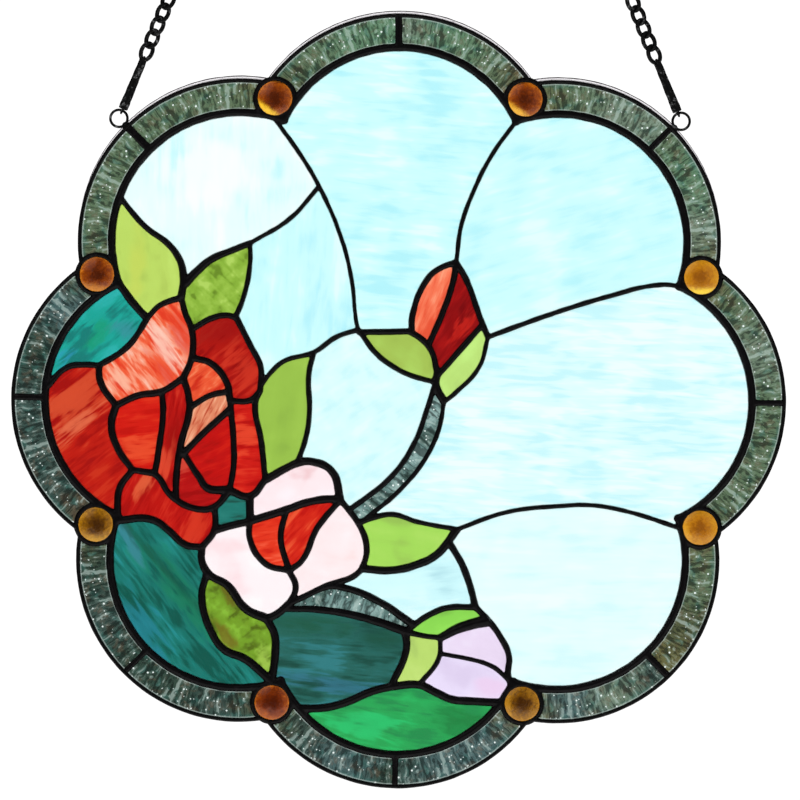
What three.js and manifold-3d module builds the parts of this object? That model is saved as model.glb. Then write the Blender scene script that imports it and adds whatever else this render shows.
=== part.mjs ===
// A round stained glass window with an edge of eight lobes, hung from two chains.
// Millimetres, +Z up. The panel stands in the XZ plane with its front to -Y.
// The origin is midway between the two places where the end rings of the chains hang.
// Points of the picture are [x, z] from the centre of the panel, in hundredths of the reach of the inner ring.

import * as THREE from "three";
import { mergeVertices } from "three/addons/utils/BufferGeometryUtils.js";
import Module from "manifold-3d";

const wasm = await Module();
wasm.setup();

const RAD = Math.PI / 180;

// The panel
const PANEL_RADIUS = 228.6; // from the centre to the top of a lobe
const LOBES = 8;
const LOBE_CENTRE_SHARE = 0.58; // of that radius, where the centre of a lobe's arc stands
const RIM_WIDTH = 2.2; // edge came, across its face
const BORDER_WIDTH = 15.7; // border glass that shows between the came and the ring
const RING_WIDTH = 4.2;
const JEWEL_RADIUS = 10.3;
const COLLAR_WIDTH = 2;
const DIVIDER_WIDTH = 2.6;
const DIVIDER_WIDTH_UNDER_RING = 5; // the dividers of the two lobes that carry the hanging rings
const GLASS_THICKNESS = 3;
const SOLDER_RISE = 1; // solder beads above the face of the glass, front and back
const RIM_RISE = 1.5;
const JEWEL_DEPTH = 9; // through its two domes
const GAP = 0.3; // between a piece of glass and its lead

// Lead lines of the picture, by how wide the solder runs
const SKY_LEAD = 2.3;
const LEAF_LEAD = 3.2;
const PETAL_LEAD = 3.8;

// What the panel hangs by
const HANGER_DIRECTION = 45; // degrees from upright to the lobes that carry the rings
const CHAINS_MEET = 570; // height above the centre at which the lines of the two chains meet
const LOOP_RADIUS = 5.05; // wire ring at the edge, to the middle of its wire
const LOOP_WIRE = 1.4;
const EYE_RADIUS = 1.9; // eye at each end of a rod
const EYE_WIRE = 1.3;
const ROD_LENGTH = 28.5;
const ROD_RADIUS_LOW = 2.7;
const ROD_RADIUS_HIGH = 2;
const LINKS = 6;
const LINK_PITCH = 8.3;
const LINK_HALF_WIDTH = 3.2;
const LINK_WIRE = 2.2;
const LINK_TWIST = 0.9; // how far a link's side leaves its plane where two links cross
const END_RING_RADIUS = 6.1;
const END_RING_WIRE = 1.8;
const WIRES_FUSED = 0.9; // share of their touching distance at which the last link and its ring lie

const LEAD_DEPTH = GLASS_THICKNESS + 2 * SOLDER_RISE;
const RIM_DEPTH = GLASS_THICKNESS + 2 * RIM_RISE;
const CUT = 2 * RIM_DEPTH; // depth of a shape that only cuts
const LOBE_CENTRE = PANEL_RADIUS * LOBE_CENTRE_SHARE;
const LOBE_RADIUS = PANEL_RADIUS - LOBE_CENTRE;
const LOBE_PITCH = 360 / LOBES;
const RIM_INNER = LOBE_RADIUS - RIM_WIDTH;
const RING_OUTER = RIM_INNER - BORDER_WIDTH;
const RING_RADIUS = RING_OUTER - RING_WIDTH / 2;
const RING_INNER = RING_OUTER - RING_WIDTH;

// The picture keeps its proportions and grows with the ring round it.
const PICTURE_PERCENT = (LOBE_CENTRE + RING_RADIUS) / 100;
const CHORD_ERROR = 0.75;
const END_RUN = 0.2; // share of its width that a lead line runs past its last point

// Helpers

const polar = (radius, degrees) => [radius * Math.cos(degrees * RAD), radius * Math.sin(degrees * RAD)];

const inPicture = ([x, z]) => [x * PICTURE_PERCENT, z * PICTURE_PERCENT];

// Distance from the centre to the lobed line of the given arc radius, in a direction of the compass.
function lobedReach(arc, degrees) {
  const turn = degrees - 90;
  const off = (turn - LOBE_PITCH * Math.round(turn / LOBE_PITCH)) * RAD;
  return LOBE_CENTRE * Math.cos(off) + Math.sqrt(arc ** 2 - (LOBE_CENTRE * Math.sin(off)) ** 2);
}

// A point of the inner ring in a direction from the centre.
const ring = (degrees) => polar(lobedReach(RING_RADIUS, degrees), degrees);

// Eight arcs about the lobe centres, from notch to notch.
function lobedOutline(arc, steps = 10) {
  const half = LOBE_PITCH / 2;
  const [side, out] = polar(lobedReach(arc, 90 + half), 90 - half);
  const widest = Math.atan2(side, out - LOBE_CENTRE) / RAD;
  const points = [];
  for (let lobe = 0; lobe < LOBES; lobe++) {
    const axis = 90 + lobe * LOBE_PITCH;
    const centre = polar(LOBE_CENTRE, axis);
    for (let i = 0; i < steps; i++) {
      const [x, z] = polar(arc, axis - widest + (2 * widest * i) / steps);
      points.push([centre[0] + x, centre[1] + z]);
    }
  }
  return points;
}

const circle = (centre, radius, sides = 12) =>
  Array.from({ length: sides }, (_, i) => {
    const [x, z] = polar(radius, (360 * i) / sides);
    return [centre[0] + x, centre[1] + z];
  });

// A closed solid from a closed surface.
function solid(geometry) {
  const bare = geometry.clone();
  bare.deleteAttribute("normal");
  bare.deleteAttribute("uv");
  const merged = mergeVertices(bare, 1e-4);
  return new wasm.Manifold(
    new wasm.Mesh({
      numProp: 3,
      vertProperties: new Float32Array(merged.attributes.position.array),
      triVerts: new Uint32Array(merged.index.array),
    }),
  );
}

// A flat shape given a thickness, with its middle at the given y.
function plate(outline, thickness, middle = 0) {
  const shape = new THREE.Shape(outline.map(([x, z]) => new THREE.Vector2(x, z)));
  const geometry = new THREE.ExtrudeGeometry(shape, { depth: thickness, bevelEnabled: false });
  return solid(geometry.rotateX(Math.PI / 2).translate(0, middle + thickness / 2, 0));
}

// A smooth line through a few points, as short straight runs that stay close to it.
function smoothLine(points) {
  if (points.length < 3) return points.map(([x, z]) => new THREE.Vector2(x, z));
  const curve = new THREE.CatmullRomCurve3(
    points.map(([x, z]) => new THREE.Vector3(x, z, 0)),
    false,
    "centripetal",
  );
  const fine = curve.getPoints(12 * points.length).map((p) => new THREE.Vector2(p.x, p.y));
  const thin = (from, to) => {
    const along = fine[to].clone().sub(fine[from]);
    const length = along.length() || 1;
    let worst = 0;
    let at = 0;
    for (let i = from + 1; i < to; i++) {
      const off = fine[i].clone().sub(fine[from]);
      const error = Math.abs(off.cross(along)) / length;
      if (error > worst) {
        worst = error;
        at = i;
      }
    }
    return worst > CHORD_ERROR ? [...thin(from, at), ...thin(at, to)] : [fine[from]];
  };
  return [...thin(0, fine.length - 1), fine[fine.length - 1]];
}

// The outline of a lead line of even width that runs on a little past its last points.
function strip(points, width) {
  const line = smoothLine(points);
  const half = width / 2;
  const last = line.length - 1;
  const start = line[0].clone().sub(line[1]).setLength(END_RUN * width);
  const end = line[last].clone().sub(line[last - 1]).setLength(END_RUN * width);
  line[0].add(start);
  line[last].add(end);
  const left = [];
  const right = [];
  line.forEach((p, i) => {
    const before = line[Math.max(i - 1, 0)];
    const after = line[Math.min(i + 1, line.length - 1)];
    const a = p.clone().sub(before).normalize();
    const b = after.clone().sub(p).normalize();
    const along = a.add(b).normalize();
    const side = new THREE.Vector2(-along.y, along.x).multiplyScalar(half);
    left.push([p.x + side.x, p.y + side.y]);
    right.push([p.x - side.x, p.y - side.y]);
  });
  return [...right, ...left.reverse()];
}

// Lead lines of the picture. The ends that are directions lie on the ring.

const LEADS = [
  // ribs of the sky
  [SKY_LEAD, 114.1, [-28, 69.3], [-22.8, 60.6], [-16.5, 46.2], [-13.4, 34], [-12, 22], [-11.3, 19.4]],
  [SKY_LEAD, [-22.8, 60.6], [-30.9, 51.5], [-41.9, 44.6]],
  [SKY_LEAD, 67.5, [25.9, 69.5], [21.1, 59.9], [17.5, 49.8], [16.1, 39.3]],
  [SKY_LEAD, [25.2, 18.2], [41.9, 24.4], [58, 29.5], [74.5, 33.3], 22.5],
  [SKY_LEAD, [16.8, -36.2], [30.4, -31.4], [45.5, -29.5], [54.6, -29.2], [64.7, -30.9], 336],
  [SKY_LEAD, [14.6, -40], [18.2, -46.2], [20.6, -52.5], [22, -58.2]],
  // leaves above the rose
  [LEAF_LEAD, 144.1, [-71.9, 48.9], [-65.7, 44.3], [-62.5, 40.3], [-61.1, 35.7], [-61.6, 29]],
  [LEAF_LEAD, 157.5, [-74.5, 26.4], [-71.2, 23]],
  [LEAF_LEAD, [-71.2, 23], [-67.8, 26.6], [-61.6, 29]],
  [LEAF_LEAD, [-41.9, 44.6], [-47.7, 42.2], [-53.2, 39.8], [-56.8, 36.9], [-60.6, 32.8]],
  [LEAF_LEAD, [-58.7, 19.9], [-52.7, 23.2], [-48.4, 24], [-46, 23.2]],
  [LEAF_LEAD, [-42.2, 44.6], [-42.2, 38.8], [-44.1, 28.8], [-46.2, 23.7]],
  // rose
  [PETAL_LEAD, [-61.6, 29], [-60.6, 24.9], [-58.7, 20.1], [-58.2, 15.3], [-59, 10.5], [-60.9, 6.2]],
  [LEAF_LEAD, [-46.2, 23.7], [-42.2, 15.8], [-39.1, 9.6], [-39.1, 2.6]],
  [PETAL_LEAD, [-71.2, 23], [-75.7, 16.1], [-78.6, 13.4], [-84.8, 9.6]],
  [PETAL_LEAD, [-84.8, 9.6], [-88.7, 9.8], [-93.7, 9.1], 178.3],
  [PETAL_LEAD, [-84.8, 9.6], [-84.4, 5], [-80, -1.7]],
  [PETAL_LEAD, [-80, -1.7], [-73.6, 1.2], [-66.9, 2.4], [-60.9, 6.2]],
  [PETAL_LEAD, [-60.9, 6.2], [-59.4, 1], [-59.2, -2.9], [-61.6, -12.9], [-62.8, -22.3], [-62.8, -27.8]],
  [PETAL_LEAD, [-59.2, -2.2], [-53, 1.4], [-48.2, 2.4]],
  [PETAL_LEAD, [-66.9, 1.9], [-66.6, -3.1], [-67.8, -14.4], [-68.8, -20.6]],
  [PETAL_LEAD, [-80, -1.7], [-81.2, -7.2], [-79.3, -13.9], [-75.2, -19.9]],
  [PETAL_LEAD, [-75.2, -19.9], [-71.9, -20.4], [-68.8, -21.1], [-64, -27.3], [-56.6, -30.9], [-52, -30.2],
    [-47.7, -25.6]],
  [PETAL_LEAD, [-75.2, -19.9], [-78.8, -25.2], 202.5],
  [PETAL_LEAD, 203.2, [-69.3, -34], [-64.7, -37.1], [-60.1, -41], [-55.4, -41.7]],
  [PETAL_LEAD, [-51.8, -30], [-52, -36.9], [-55.4, -41.7]],
  [PETAL_LEAD, [-47.7, -2.6], [-54.6, -8.9], [-60.9, -15.3]],
  [PETAL_LEAD, [-60.9, -14.9], [-56.3, -21.8], [-53.9, -24.9], [-47.4, -25.4]],
  [PETAL_LEAD, [-47.7, 0.7], [-46.5, -13.7], [-46.5, -18.2], [-47.7, -25.6]],
  [PETAL_LEAD, [-47.9, -0.2], [-41.9, 0], [-39.1, 2.6]],
  [PETAL_LEAD, [-58.7, 12], [-52.7, 10.1], [-48.4, 4.3], [-47.7, -0.2]],
  [LEAF_LEAD, [-39.1, 2.6], [-40.5, -0.7], [-38.8, -11.5], [-37.6, -22.5]],
  [PETAL_LEAD, [-47.7, -25.6], [-41.9, -27.1], [-37.6, -22.5]],
  // foliage and leaf between the flowers
  [PETAL_LEAD, [-41.9, -27.1], [-41.9, -34.7]],
  [PETAL_LEAD, [-52, -36.9], [-47.2, -35.5], [-41.9, -34.3]],
  [LEAF_LEAD, [-38.8, 4.3], [-36.2, 7.9], [-32.6, 11], [-24, 13.7], [-17.7, 18], [-11.5, 20.1]],
  [LEAF_LEAD, [-24, 13.7], [-25.4, 7.7], [-25.2, -3.6], [-26.1, -10.3], [-28.5, -17.5]],
  // pink flower
  [PETAL_LEAD, [-37.6, -22.5], [-32.1, -19.4], [-28.5, -17.7], [-24.4, -17.3], [-18.7, -20.1], [-16.3, -28]],
  [PETAL_LEAD, [-41.9, -34.3], [-32.4, -31.2], [-23.5, -28.3], [-16.3, -27.8]],
  [PETAL_LEAD, [-41.9, -34.3], [-41.9, -39.1], [-37.4, -46.2], [-30.7, -48.2]],
  [PETAL_LEAD, [-31.6, -30.9], [-33.1, -39.1], [-30.7, -48.2]],
  [LEAF_LEAD, [-16.3, -28], [-23, -36.4], [-27.1, -45.3], [-30.7, -48.2]],
  [PETAL_LEAD, [-30.7, -48.2], [-28.8, -53], [-30.7, -57.5]],
  [PETAL_LEAD, [-16.3, -28], [-10.5, -35.9], [-8.9, -40.7], [-9.3, -45.3], [-11.7, -49.1], [-19.7, -52.2],
    [-27.1, -55.8], [-30.7, -57.5]],
  [PETAL_LEAD, [-55.4, -41.7], [-55.4, -45.8], [-53, -49.6], [-48.4, -52.2], [-42.7, -59.2], [-36.9, -61.8]],
  [PETAL_LEAD, [-36.9, -61.8], [-34, -60.4], [-30.7, -57.5]],
  // leaves and stem below
  [PETAL_LEAD, [-54.2, -49.4], [-55.4, -55.8], [-52.2, -66.4], [-49.1, -70.5], [-42.9, -73.3], [-35.5, -79.6]],
  [LEAF_LEAD, [-36.9, -61.8], [-34.7, -66.4], [-34.5, -71.4], [-35.5, -79.6]],
  [LEAF_LEAD, [-27.1, -55.8], [-19.7, -52.7], [-16.3, -52.7], [-5.5, -56.6], [4.1, -63]],
  [LEAF_LEAD, [-32.1, -59], [-21.6, -59.2], [-8.6, -61.6], [2.4, -65.2]],
  [PETAL_LEAD, [1.9, -65.4], [9.1, -60.4], [13.9, -58.5], [22, -58.2]],
  [LEAF_LEAD, [2.2, -65.2], [7.4, -66.4], [12.2, -66.9]],
  [LEAF_LEAD, [12.2, -66.9], [11.7, -72.8], [6.2, -80.3]],
  [PETAL_LEAD, [2.2, -65.2], [2.6, -70], [-1.7, -80.8]],
  [PETAL_LEAD, 252.3, [-21.1, -87], [-15.8, -85.8], [-6.5, -82], [-1.7, -80.8]],
  // violet bud
  [LEAF_LEAD, [12.2, -66.9], [17.5, -64.2], [25.9, -61.8]],
  [LEAF_LEAD, [22, -58.2], [25.6, -61.8], [29.2, -66.6], [31.6, -71.9], [31.4, -77.2], 291.8],
  [LEAF_LEAD, [12.2, -71.4], [24, -73.8], [27.8, -75.5], [31.2, -78.6]],
  [LEAF_LEAD, [-1.7, -80.8], [6.2, -80.3], [11, -82.4], [15.6, -84.4], [20.6, -84.8], 289],
  // leaf beside the pink flower
  [PETAL_LEAD, [-11.5, -34.7], [-7.2, -33.1], [-1.7, -32.1], [6, -34.3], [16.8, -36.2]],
  [PETAL_LEAD, [16.8, -36.2], [10.8, -43.6], [6.2, -46], [-1.4, -47.9], [-10.8, -47.4]],
  // red bud, its stem and its two leaves
  [LEAF_LEAD, [10.3, 5], [8.1, -2.2], [4.8, -11.3], [-1.4, -20.8], [-14.4, -31.4]],
  [LEAF_LEAD, [12.9, -0.2], [11.3, -8.4], [7.2, -17], [-0.2, -25.9], [-9.1, -33.3]],
  [LEAF_LEAD, [-11.5, 20.1], [-6.2, 13.2], [-2.2, 10.1], [3.1, 7.4], [10.5, 5.3]],
  [LEAF_LEAD, [-11.7, 19.4], [3.6, 19.7]],
  [PETAL_LEAD, [2.9, 19.7], [6.2, 17.7], [9.1, 14.4], [11, 7.7]],
  [LEAF_LEAD, [3.6, 19.7], [3.8, 24.2], [8.1, 34.7], [11.5, 37.6], [16.1, 39.3]],
  [PETAL_LEAD, [16.1, 39.3], [15.3, 34], [12.5, 25.4], [8.4, 15.8]],
  [LEAF_LEAD, [16.1, 39.3], [18.9, 34.5], [23.2, 23], [25.2, 18.2]],
  [PETAL_LEAD, [23.5, 21.6], [15.6, 12.5], [11, 7.2]],
  [PETAL_LEAD, [11, 7.9], [10.5, 4.8], [12.9, -0.2]],
  [LEAF_LEAD, [25.2, 18.2], [22.8, 9.8], [16.1, 2.4], [12.9, -0.2]],
];

// Every piece of glass of the picture, by a point on it, with its colour.

const GLASS = [
  ["sky_upper_left", -56.6, 62.1, "sky_blue"],
  ["sky_top", 0, 56.8, "sky_blue"],
  ["sky_upper_right", 56.6, 57, "sky_blue"],
  ["sky_right", 62.5, 0.5, "sky_pale"],
  ["sky_lower_right", 54.4, -56.1, "sky_pale"],
  ["sky_left_centre", -28, 31.2, "sky_blue"],
  ["sky_centre", -13.7, -5.5, "sky_pale"],
  ["sky_under_leaf", 9.1, -52.2, "sky_blue"],
  ["leaf_upper_left", -71.2, 39.3, "leaf_green"],
  ["leaf_above_rose", -51.3, 32.4, "leaf_green"],
  ["leaf_beside_rose", -31.6, -2.9, "leaf_green"],
  ["leaf_left_of_bud", 0.2, 14.4, "leaf_green"],
  ["leaf_right_of_bud", 18.2, 11, "leaf_lime"],
  ["leaf_right_of_pink", 0.5, -39.5, "leaf_lime"],
  ["leaf_lower_left", -44.6, -65.2, "leaf_green"],
  ["leaf_above_violet_bud", 15.3, -61.1, "leaf_lime"],
  ["leaf_beside_violet_bud", 7.7, -71.9, "leaf_lime"],
  ["rose_outer_left", -88.7, -8.9, "rose_red"],
  ["rose_upper_left", -70.5, 12.5, "rose_salmon"],
  ["rose_upper_right", -46.5, 15.3, "rose_red"],
  ["rose_heart_top", -54.9, 5.5, "rose_red"],
  ["rose_heart_fold", -53.9, -4.6, "rose_salmon"],
  ["rose_inner_left", -73.8, -8.9, "rose_red"],
  ["rose_inner_middle", -64.2, -8.6, "rose_red"],
  ["rose_heart_right", -51, -15.8, "rose_red"],
  ["rose_right", -42.9, -11.5, "rose_red"],
  ["rose_heart_foot", -57.5, -25.6, "rose_red"],
  ["rose_lower", -70.2, -28.5, "rose_red"],
  ["foliage_upper_left", -86, 18, "foliage_teal"],
  ["foliage_between_flowers", -47, -31.4, "foliage_teal"],
  ["foliage_lower_left", -67.3, -56.8, "foliage_teal"],
  ["foliage_bottom_dark", -16.3, -72.1, "foliage_teal"],
  ["foliage_bottom_green", 1, -90.3, "foliage_green"],
  ["pink_petal_top", -27.8, -24.7, "petal_pink"],
  ["pink_petal_left", -46, -45.5, "petal_pink"],
  ["pink_petal_right", -17.7, -41, "petal_pink"],
  ["pink_heart_left", -37.6, -39.8, "rose_red"],
  ["pink_heart_right", -27.8, -36.9, "rose_red"],
  ["red_bud_light", 10.1, 30, "rose_salmon"],
  ["red_bud_dark", 15.8, 21.6, "rose_red"],
  ["violet_bud_upper", 22, -68.5, "bud_violet"],
  ["violet_bud_lower", 19.2, -79.1, "bud_violet"],
  ["stem_of_red_bud", 7.4, -11, "stem_grey"],
  ["stem_of_violet_bud", -16.3, -56.6, "stem_grey"],
];

const COLOURS = {
  lead: 0x0c0a0c,
  sky_blue: 0xc8f5fd,
  sky_pale: 0xe0fafe,
  leaf_green: 0x96c346,
  leaf_lime: 0xa8e65f,
  rose_red: 0xc81608,
  rose_salmon: 0xf0886a,
  foliage_teal: 0x1e8c80,
  foliage_green: 0x1bab4e,
  petal_pink: 0xfdebee,
  bud_violet: 0xe6cfe8,
  stem_grey: 0x789691,
  border_green: 0x263c32,
};

// The whole part, with the panel centre this far under the origin.

const LINK_HALF_LENGTH = (LINK_PITCH + LINK_WIRE) / 2;
const loopReach = PANEL_RADIUS + GAP + LOOP_RADIUS + LOOP_WIRE / 2;
const chainLean = Math.atan2(
  loopReach * Math.sin(HANGER_DIRECTION * RAD),
  CHAINS_MEET - loopReach * Math.cos(HANGER_DIRECTION * RAD),
);
const rodFoot = LOOP_RADIUS + EYE_RADIUS;
const rodHead = rodFoot + ROD_LENGTH;
const upperEye = rodHead + EYE_RADIUS;
const firstLink = upperEye + LINK_HALF_LENGTH;
const endRingGrip = (WIRES_FUSED * (LINK_WIRE + END_RING_WIRE)) / 2;
const endRing = firstLink + (LINKS - 1) * LINK_PITCH + LINK_HALF_LENGTH - endRingGrip + END_RING_RADIUS;
const bearing = endRing + END_RING_RADIUS - END_RING_WIRE / 2;
const HANG_HEIGHT = loopReach * Math.cos(HANGER_DIRECTION * RAD) + bearing * Math.cos(chainLean);

const part = new THREE.Group();

function addMesh(name, body, colour) {
  const { vertProperties, numProp, triVerts, numVert } = body.getMesh();
  const positions = new Float32Array(numVert * 3);
  for (let i = 0; i < numVert; i++) {
    positions.set(vertProperties.subarray(i * numProp, i * numProp + 3), i * 3);
  }
  const geometry = new THREE.BufferGeometry();
  geometry.setAttribute("position", new THREE.BufferAttribute(positions, 3));
  geometry.setIndex(new THREE.BufferAttribute(new Uint32Array(triVerts), 1));
  geometry.computeVertexNormals();
  const material = new THREE.MeshStandardMaterial({ color: COLOURS[colour], flatShading: true });
  const mesh = new THREE.Mesh(geometry, material);
  mesh.name = name;
  mesh.position.z = -HANG_HEIGHT;
  part.add(mesh);
}

// Lead and jewels

const leadLines = LEADS.map(([width, ...line]) => [
  width,
  line.map((point) => (Array.isArray(point) ? inPicture(point) : ring(point))),
]);

const notches = Array.from({ length: LOBES }, (_, i) => 90 + (i + 0.5) * LOBE_PITCH);
const apexes = Array.from({ length: LOBES }, (_, i) => 90 + i * LOBE_PITCH);

// A jewel sits midway between the notch of the ring and the notch of the edge.
const notchMiddle = (lobedReach(RING_OUTER, notches[0]) + lobedReach(LOBE_RADIUS, notches[0])) / 2;
const jewelCentres = notches.map((degrees) => polar(notchMiddle, degrees));

// Each jewel is a lens seated in a flat collar of solder. The collar stops short of the edge came.
const seatProfile = [
  [0, -JEWEL_DEPTH / 2],
  [0.62 * JEWEL_RADIUS, -0.88 * (JEWEL_DEPTH / 2)],
  [JEWEL_RADIUS, -LEAD_DEPTH / 2],
  [JEWEL_RADIUS + COLLAR_WIDTH, -LEAD_DEPTH / 2],
];
const seatSection = [...seatProfile, ...seatProfile.map(([radius, y]) => [radius, -y]).reverse()];
const seatPoints = seatSection.map(([radius, y]) => new THREE.Vector2(radius, y));
const seats = jewelCentres.map(([x, z]) =>
  solid(new THREE.LatheGeometry(seatPoints, 12).translate(x, 0, z)),
);
const seatRoom = wasm.Manifold.union([
  plate(lobedOutline(RIM_INNER - GAP), CUT),
  ...jewelCentres.map((centre) => plate(circle(centre, JEWEL_RADIUS), CUT)),
]);

// A divider crosses the border glass of its lobe on the front and on the back.
const dividerThickness = SOLDER_RISE - GAP;
const dividerMiddle = (LEAD_DEPTH - dividerThickness) / 2;
const dividers = apexes.flatMap((degrees) => {
  const carriesRing = [90 - HANGER_DIRECTION, 90 + HANGER_DIRECTION].includes(degrees % 360);
  const half = (carriesRing ? DIVIDER_WIDTH_UNDER_RING : DIVIDER_WIDTH) / 2;
  const across = polar(half, degrees + 90);
  const from = polar(LOBE_CENTRE + RING_RADIUS, degrees);
  const to = polar(LOBE_CENTRE + RIM_INNER - 2 * GAP, degrees);
  const outline = [
    [from[0] - across[0], from[1] - across[1]],
    [to[0] - across[0], to[1] - across[1]],
    [to[0] + across[0], to[1] + across[1]],
    [from[0] + across[0], from[1] + across[1]],
  ];
  return [-dividerMiddle, dividerMiddle].map((y) => plate(outline, dividerThickness, y));
});

const ringLead = plate(lobedOutline(RING_OUTER), LEAD_DEPTH).subtract(plate(lobedOutline(RING_INNER), CUT));
const pictureLead = leadLines.map(([width, line]) => plate(strip(line, width), LEAD_DEPTH));
const lattice = wasm.Manifold.union([
  ringLead,
  ...pictureLead,
  ...seats.map((seat) => seat.intersect(seatRoom)),
  ...dividers,
]);
addMesh("lead_lattice", lattice, "lead");

const jewelSeats = jewelCentres.map((centre) => plate(circle(centre, JEWEL_RADIUS + GAP), CUT));
const notchSolder = jewelCentres.map((centre) => plate(circle(centre, JEWEL_RADIUS + COLLAR_WIDTH), RIM_DEPTH));
const rim = wasm.Manifold.union([plate(lobedOutline(LOBE_RADIUS), RIM_DEPTH), ...notchSolder])
  .subtract(plate(lobedOutline(RIM_INNER), CUT))
  .subtract(wasm.Manifold.union(jewelSeats));
addMesh("edge_came", rim, "lead");

// Glass of the picture: one sheet cut along every lead line

const channels = leadLines.map(([width, line]) => plate(strip(line, width + 2 * GAP), CUT));
const sheet = plate(lobedOutline(RING_INNER - GAP), GLASS_THICKNESS);
const cutPieces = sheet.subtract(wasm.Manifold.union(channels)).decompose();

// Whether a piece of sheet lies over a point, from the triangles of its front face.
function covers(piece, [x, z]) {
  const { vertProperties, numProp, triVerts } = piece.getMesh();
  const corner = (i) => vertProperties.subarray(i * numProp, i * numProp + 3);
  for (let t = 0; t < triVerts.length; t += 3) {
    const face = [corner(triVerts[t]), corner(triVerts[t + 1]), corner(triVerts[t + 2])];
    if (face.some((p) => p[1] > -GLASS_THICKNESS / 2 + 0.01)) continue;
    const turns = face.map((p, i) => {
      const q = face[(i + 1) % 3];
      return (q[0] - p[0]) * (z - p[2]) - (q[2] - p[2]) * (x - p[0]);
    });
    if (turns.every((v) => v >= 0) || turns.every((v) => v <= 0)) return true;
  }
  return false;
}

for (const [name, x, z, colour] of GLASS) {
  const at = inPicture([x, z]);
  const found = cutPieces.find((piece) => covers(piece, at));
  addMesh(name, found, colour);
}

// Border glass: the two tiles of a lobe, fused under their divider

const collarRoom = wasm.Manifold.union(
  jewelCentres.map((centre) => plate(circle(centre, JEWEL_RADIUS + COLLAR_WIDTH + GAP), CUT)),
);
const border = plate(lobedOutline(RIM_INNER - GAP), GLASS_THICKNESS)
  .subtract(plate(lobedOutline(RING_OUTER + GAP), CUT))
  .subtract(collarRoom);
const BORDER_NAMES = ["top", "upper_left", "left", "lower_left", "bottom", "lower_right", "right", "upper_right"];
const bands = border.decompose();
apexes.forEach((degrees, i) => {
  const at = polar(LOBE_CENTRE + RING_OUTER + BORDER_WIDTH / 2, degrees);
  const found = bands.find((piece) => covers(piece, at));
  addMesh("border_glass_" + BORDER_NAMES[i], found, "border_green");
});

// Rings, rods and chains, built upright from the middle of a ring and then leaned over

class LinkPath extends THREE.Curve {
  constructor(height) {
    super();
    this.height = height;
  }
  getPoint(t, target = new THREE.Vector3()) {
    const angle = 2 * Math.PI * t;
    return target.set(
      LINK_HALF_WIDTH * Math.cos(angle),
      LINK_TWIST * Math.sin(2 * angle),
      this.height + LINK_HALF_LENGTH * Math.sin(angle),
    );
  }
}

const crossEye = (height, radius, wire, sides, steps) =>
  solid(new THREE.TorusGeometry(radius, wire / 2, sides, steps).rotateY(Math.PI / 2).translate(0, 0, height));

function placed(body, side) {
  const [x, z] = polar(loopReach, 90 - side * HANGER_DIRECTION);
  return body.rotate([0, (-side * chainLean) / RAD, 0]).translate([x, 0, z]);
}

for (const [word, side] of [["left", -1], ["right", 1]]) {
  const loop = solid(new THREE.TorusGeometry(LOOP_RADIUS, LOOP_WIRE / 2, 4, 12).rotateX(Math.PI / 2));
  addMesh("edge_ring_" + word, placed(loop, side), "lead");

  const overlap = EYE_WIRE / 4; // the bar runs this far into the wire of its eyes
  const barLength = ROD_LENGTH + 2 * overlap;
  const bar = new THREE.CylinderGeometry(ROD_RADIUS_HIGH, ROD_RADIUS_LOW, barLength, 8);
  const rod = wasm.Manifold.union([
    solid(bar.rotateX(Math.PI / 2).translate(0, 0, rodFoot + ROD_LENGTH / 2)),
    crossEye(LOOP_RADIUS, EYE_RADIUS, EYE_WIRE, 4, 8),
    crossEye(upperEye, EYE_RADIUS, EYE_WIRE, 4, 8),
  ]);
  addMesh("rod_" + word, placed(rod, side), "lead");

  const links = Array.from({ length: LINKS }, (_, i) =>
    solid(new THREE.TubeGeometry(new LinkPath(firstLink + i * LINK_PITCH), 10, LINK_WIRE / 2, 4, true)),
  );
  const ends = crossEye(endRing, END_RING_RADIUS, END_RING_WIRE, 4, 12);
  addMesh("chain_" + word, placed(wasm.Manifold.union([...links, ends]), side), "lead");
}

export default part;
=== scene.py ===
# Looks of a round stained glass window with eight lobes, hung from two chains.
# Everything is in metres, in the frame of the solids: the panel stands in the XZ plane, front to -Y.
# Directions in the panel are degrees from +X towards +Z, so 90 is up.
# Tones are given as a screen shows them, from 0 to 255.

import math

import bpy
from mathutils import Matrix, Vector


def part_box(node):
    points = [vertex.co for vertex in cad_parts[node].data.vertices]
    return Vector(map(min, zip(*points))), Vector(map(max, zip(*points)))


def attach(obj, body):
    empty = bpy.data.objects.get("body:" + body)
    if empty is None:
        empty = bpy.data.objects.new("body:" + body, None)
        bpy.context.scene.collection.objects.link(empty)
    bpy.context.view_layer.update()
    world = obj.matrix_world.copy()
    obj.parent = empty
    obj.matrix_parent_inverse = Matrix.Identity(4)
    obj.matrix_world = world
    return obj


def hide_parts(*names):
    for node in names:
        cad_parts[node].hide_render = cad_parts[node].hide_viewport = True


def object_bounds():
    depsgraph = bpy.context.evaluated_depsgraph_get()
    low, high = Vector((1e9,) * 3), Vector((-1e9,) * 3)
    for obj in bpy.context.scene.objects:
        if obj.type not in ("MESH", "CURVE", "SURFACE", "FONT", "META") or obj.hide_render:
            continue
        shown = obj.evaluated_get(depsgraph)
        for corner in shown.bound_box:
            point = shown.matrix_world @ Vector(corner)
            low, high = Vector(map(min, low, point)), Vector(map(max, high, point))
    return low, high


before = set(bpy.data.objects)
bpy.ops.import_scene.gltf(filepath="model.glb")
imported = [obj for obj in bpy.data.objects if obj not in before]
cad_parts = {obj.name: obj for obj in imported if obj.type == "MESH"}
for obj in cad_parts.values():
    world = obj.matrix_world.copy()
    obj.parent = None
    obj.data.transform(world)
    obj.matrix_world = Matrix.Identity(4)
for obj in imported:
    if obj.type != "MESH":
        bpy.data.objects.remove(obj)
cad_low, cad_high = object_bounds()

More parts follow.
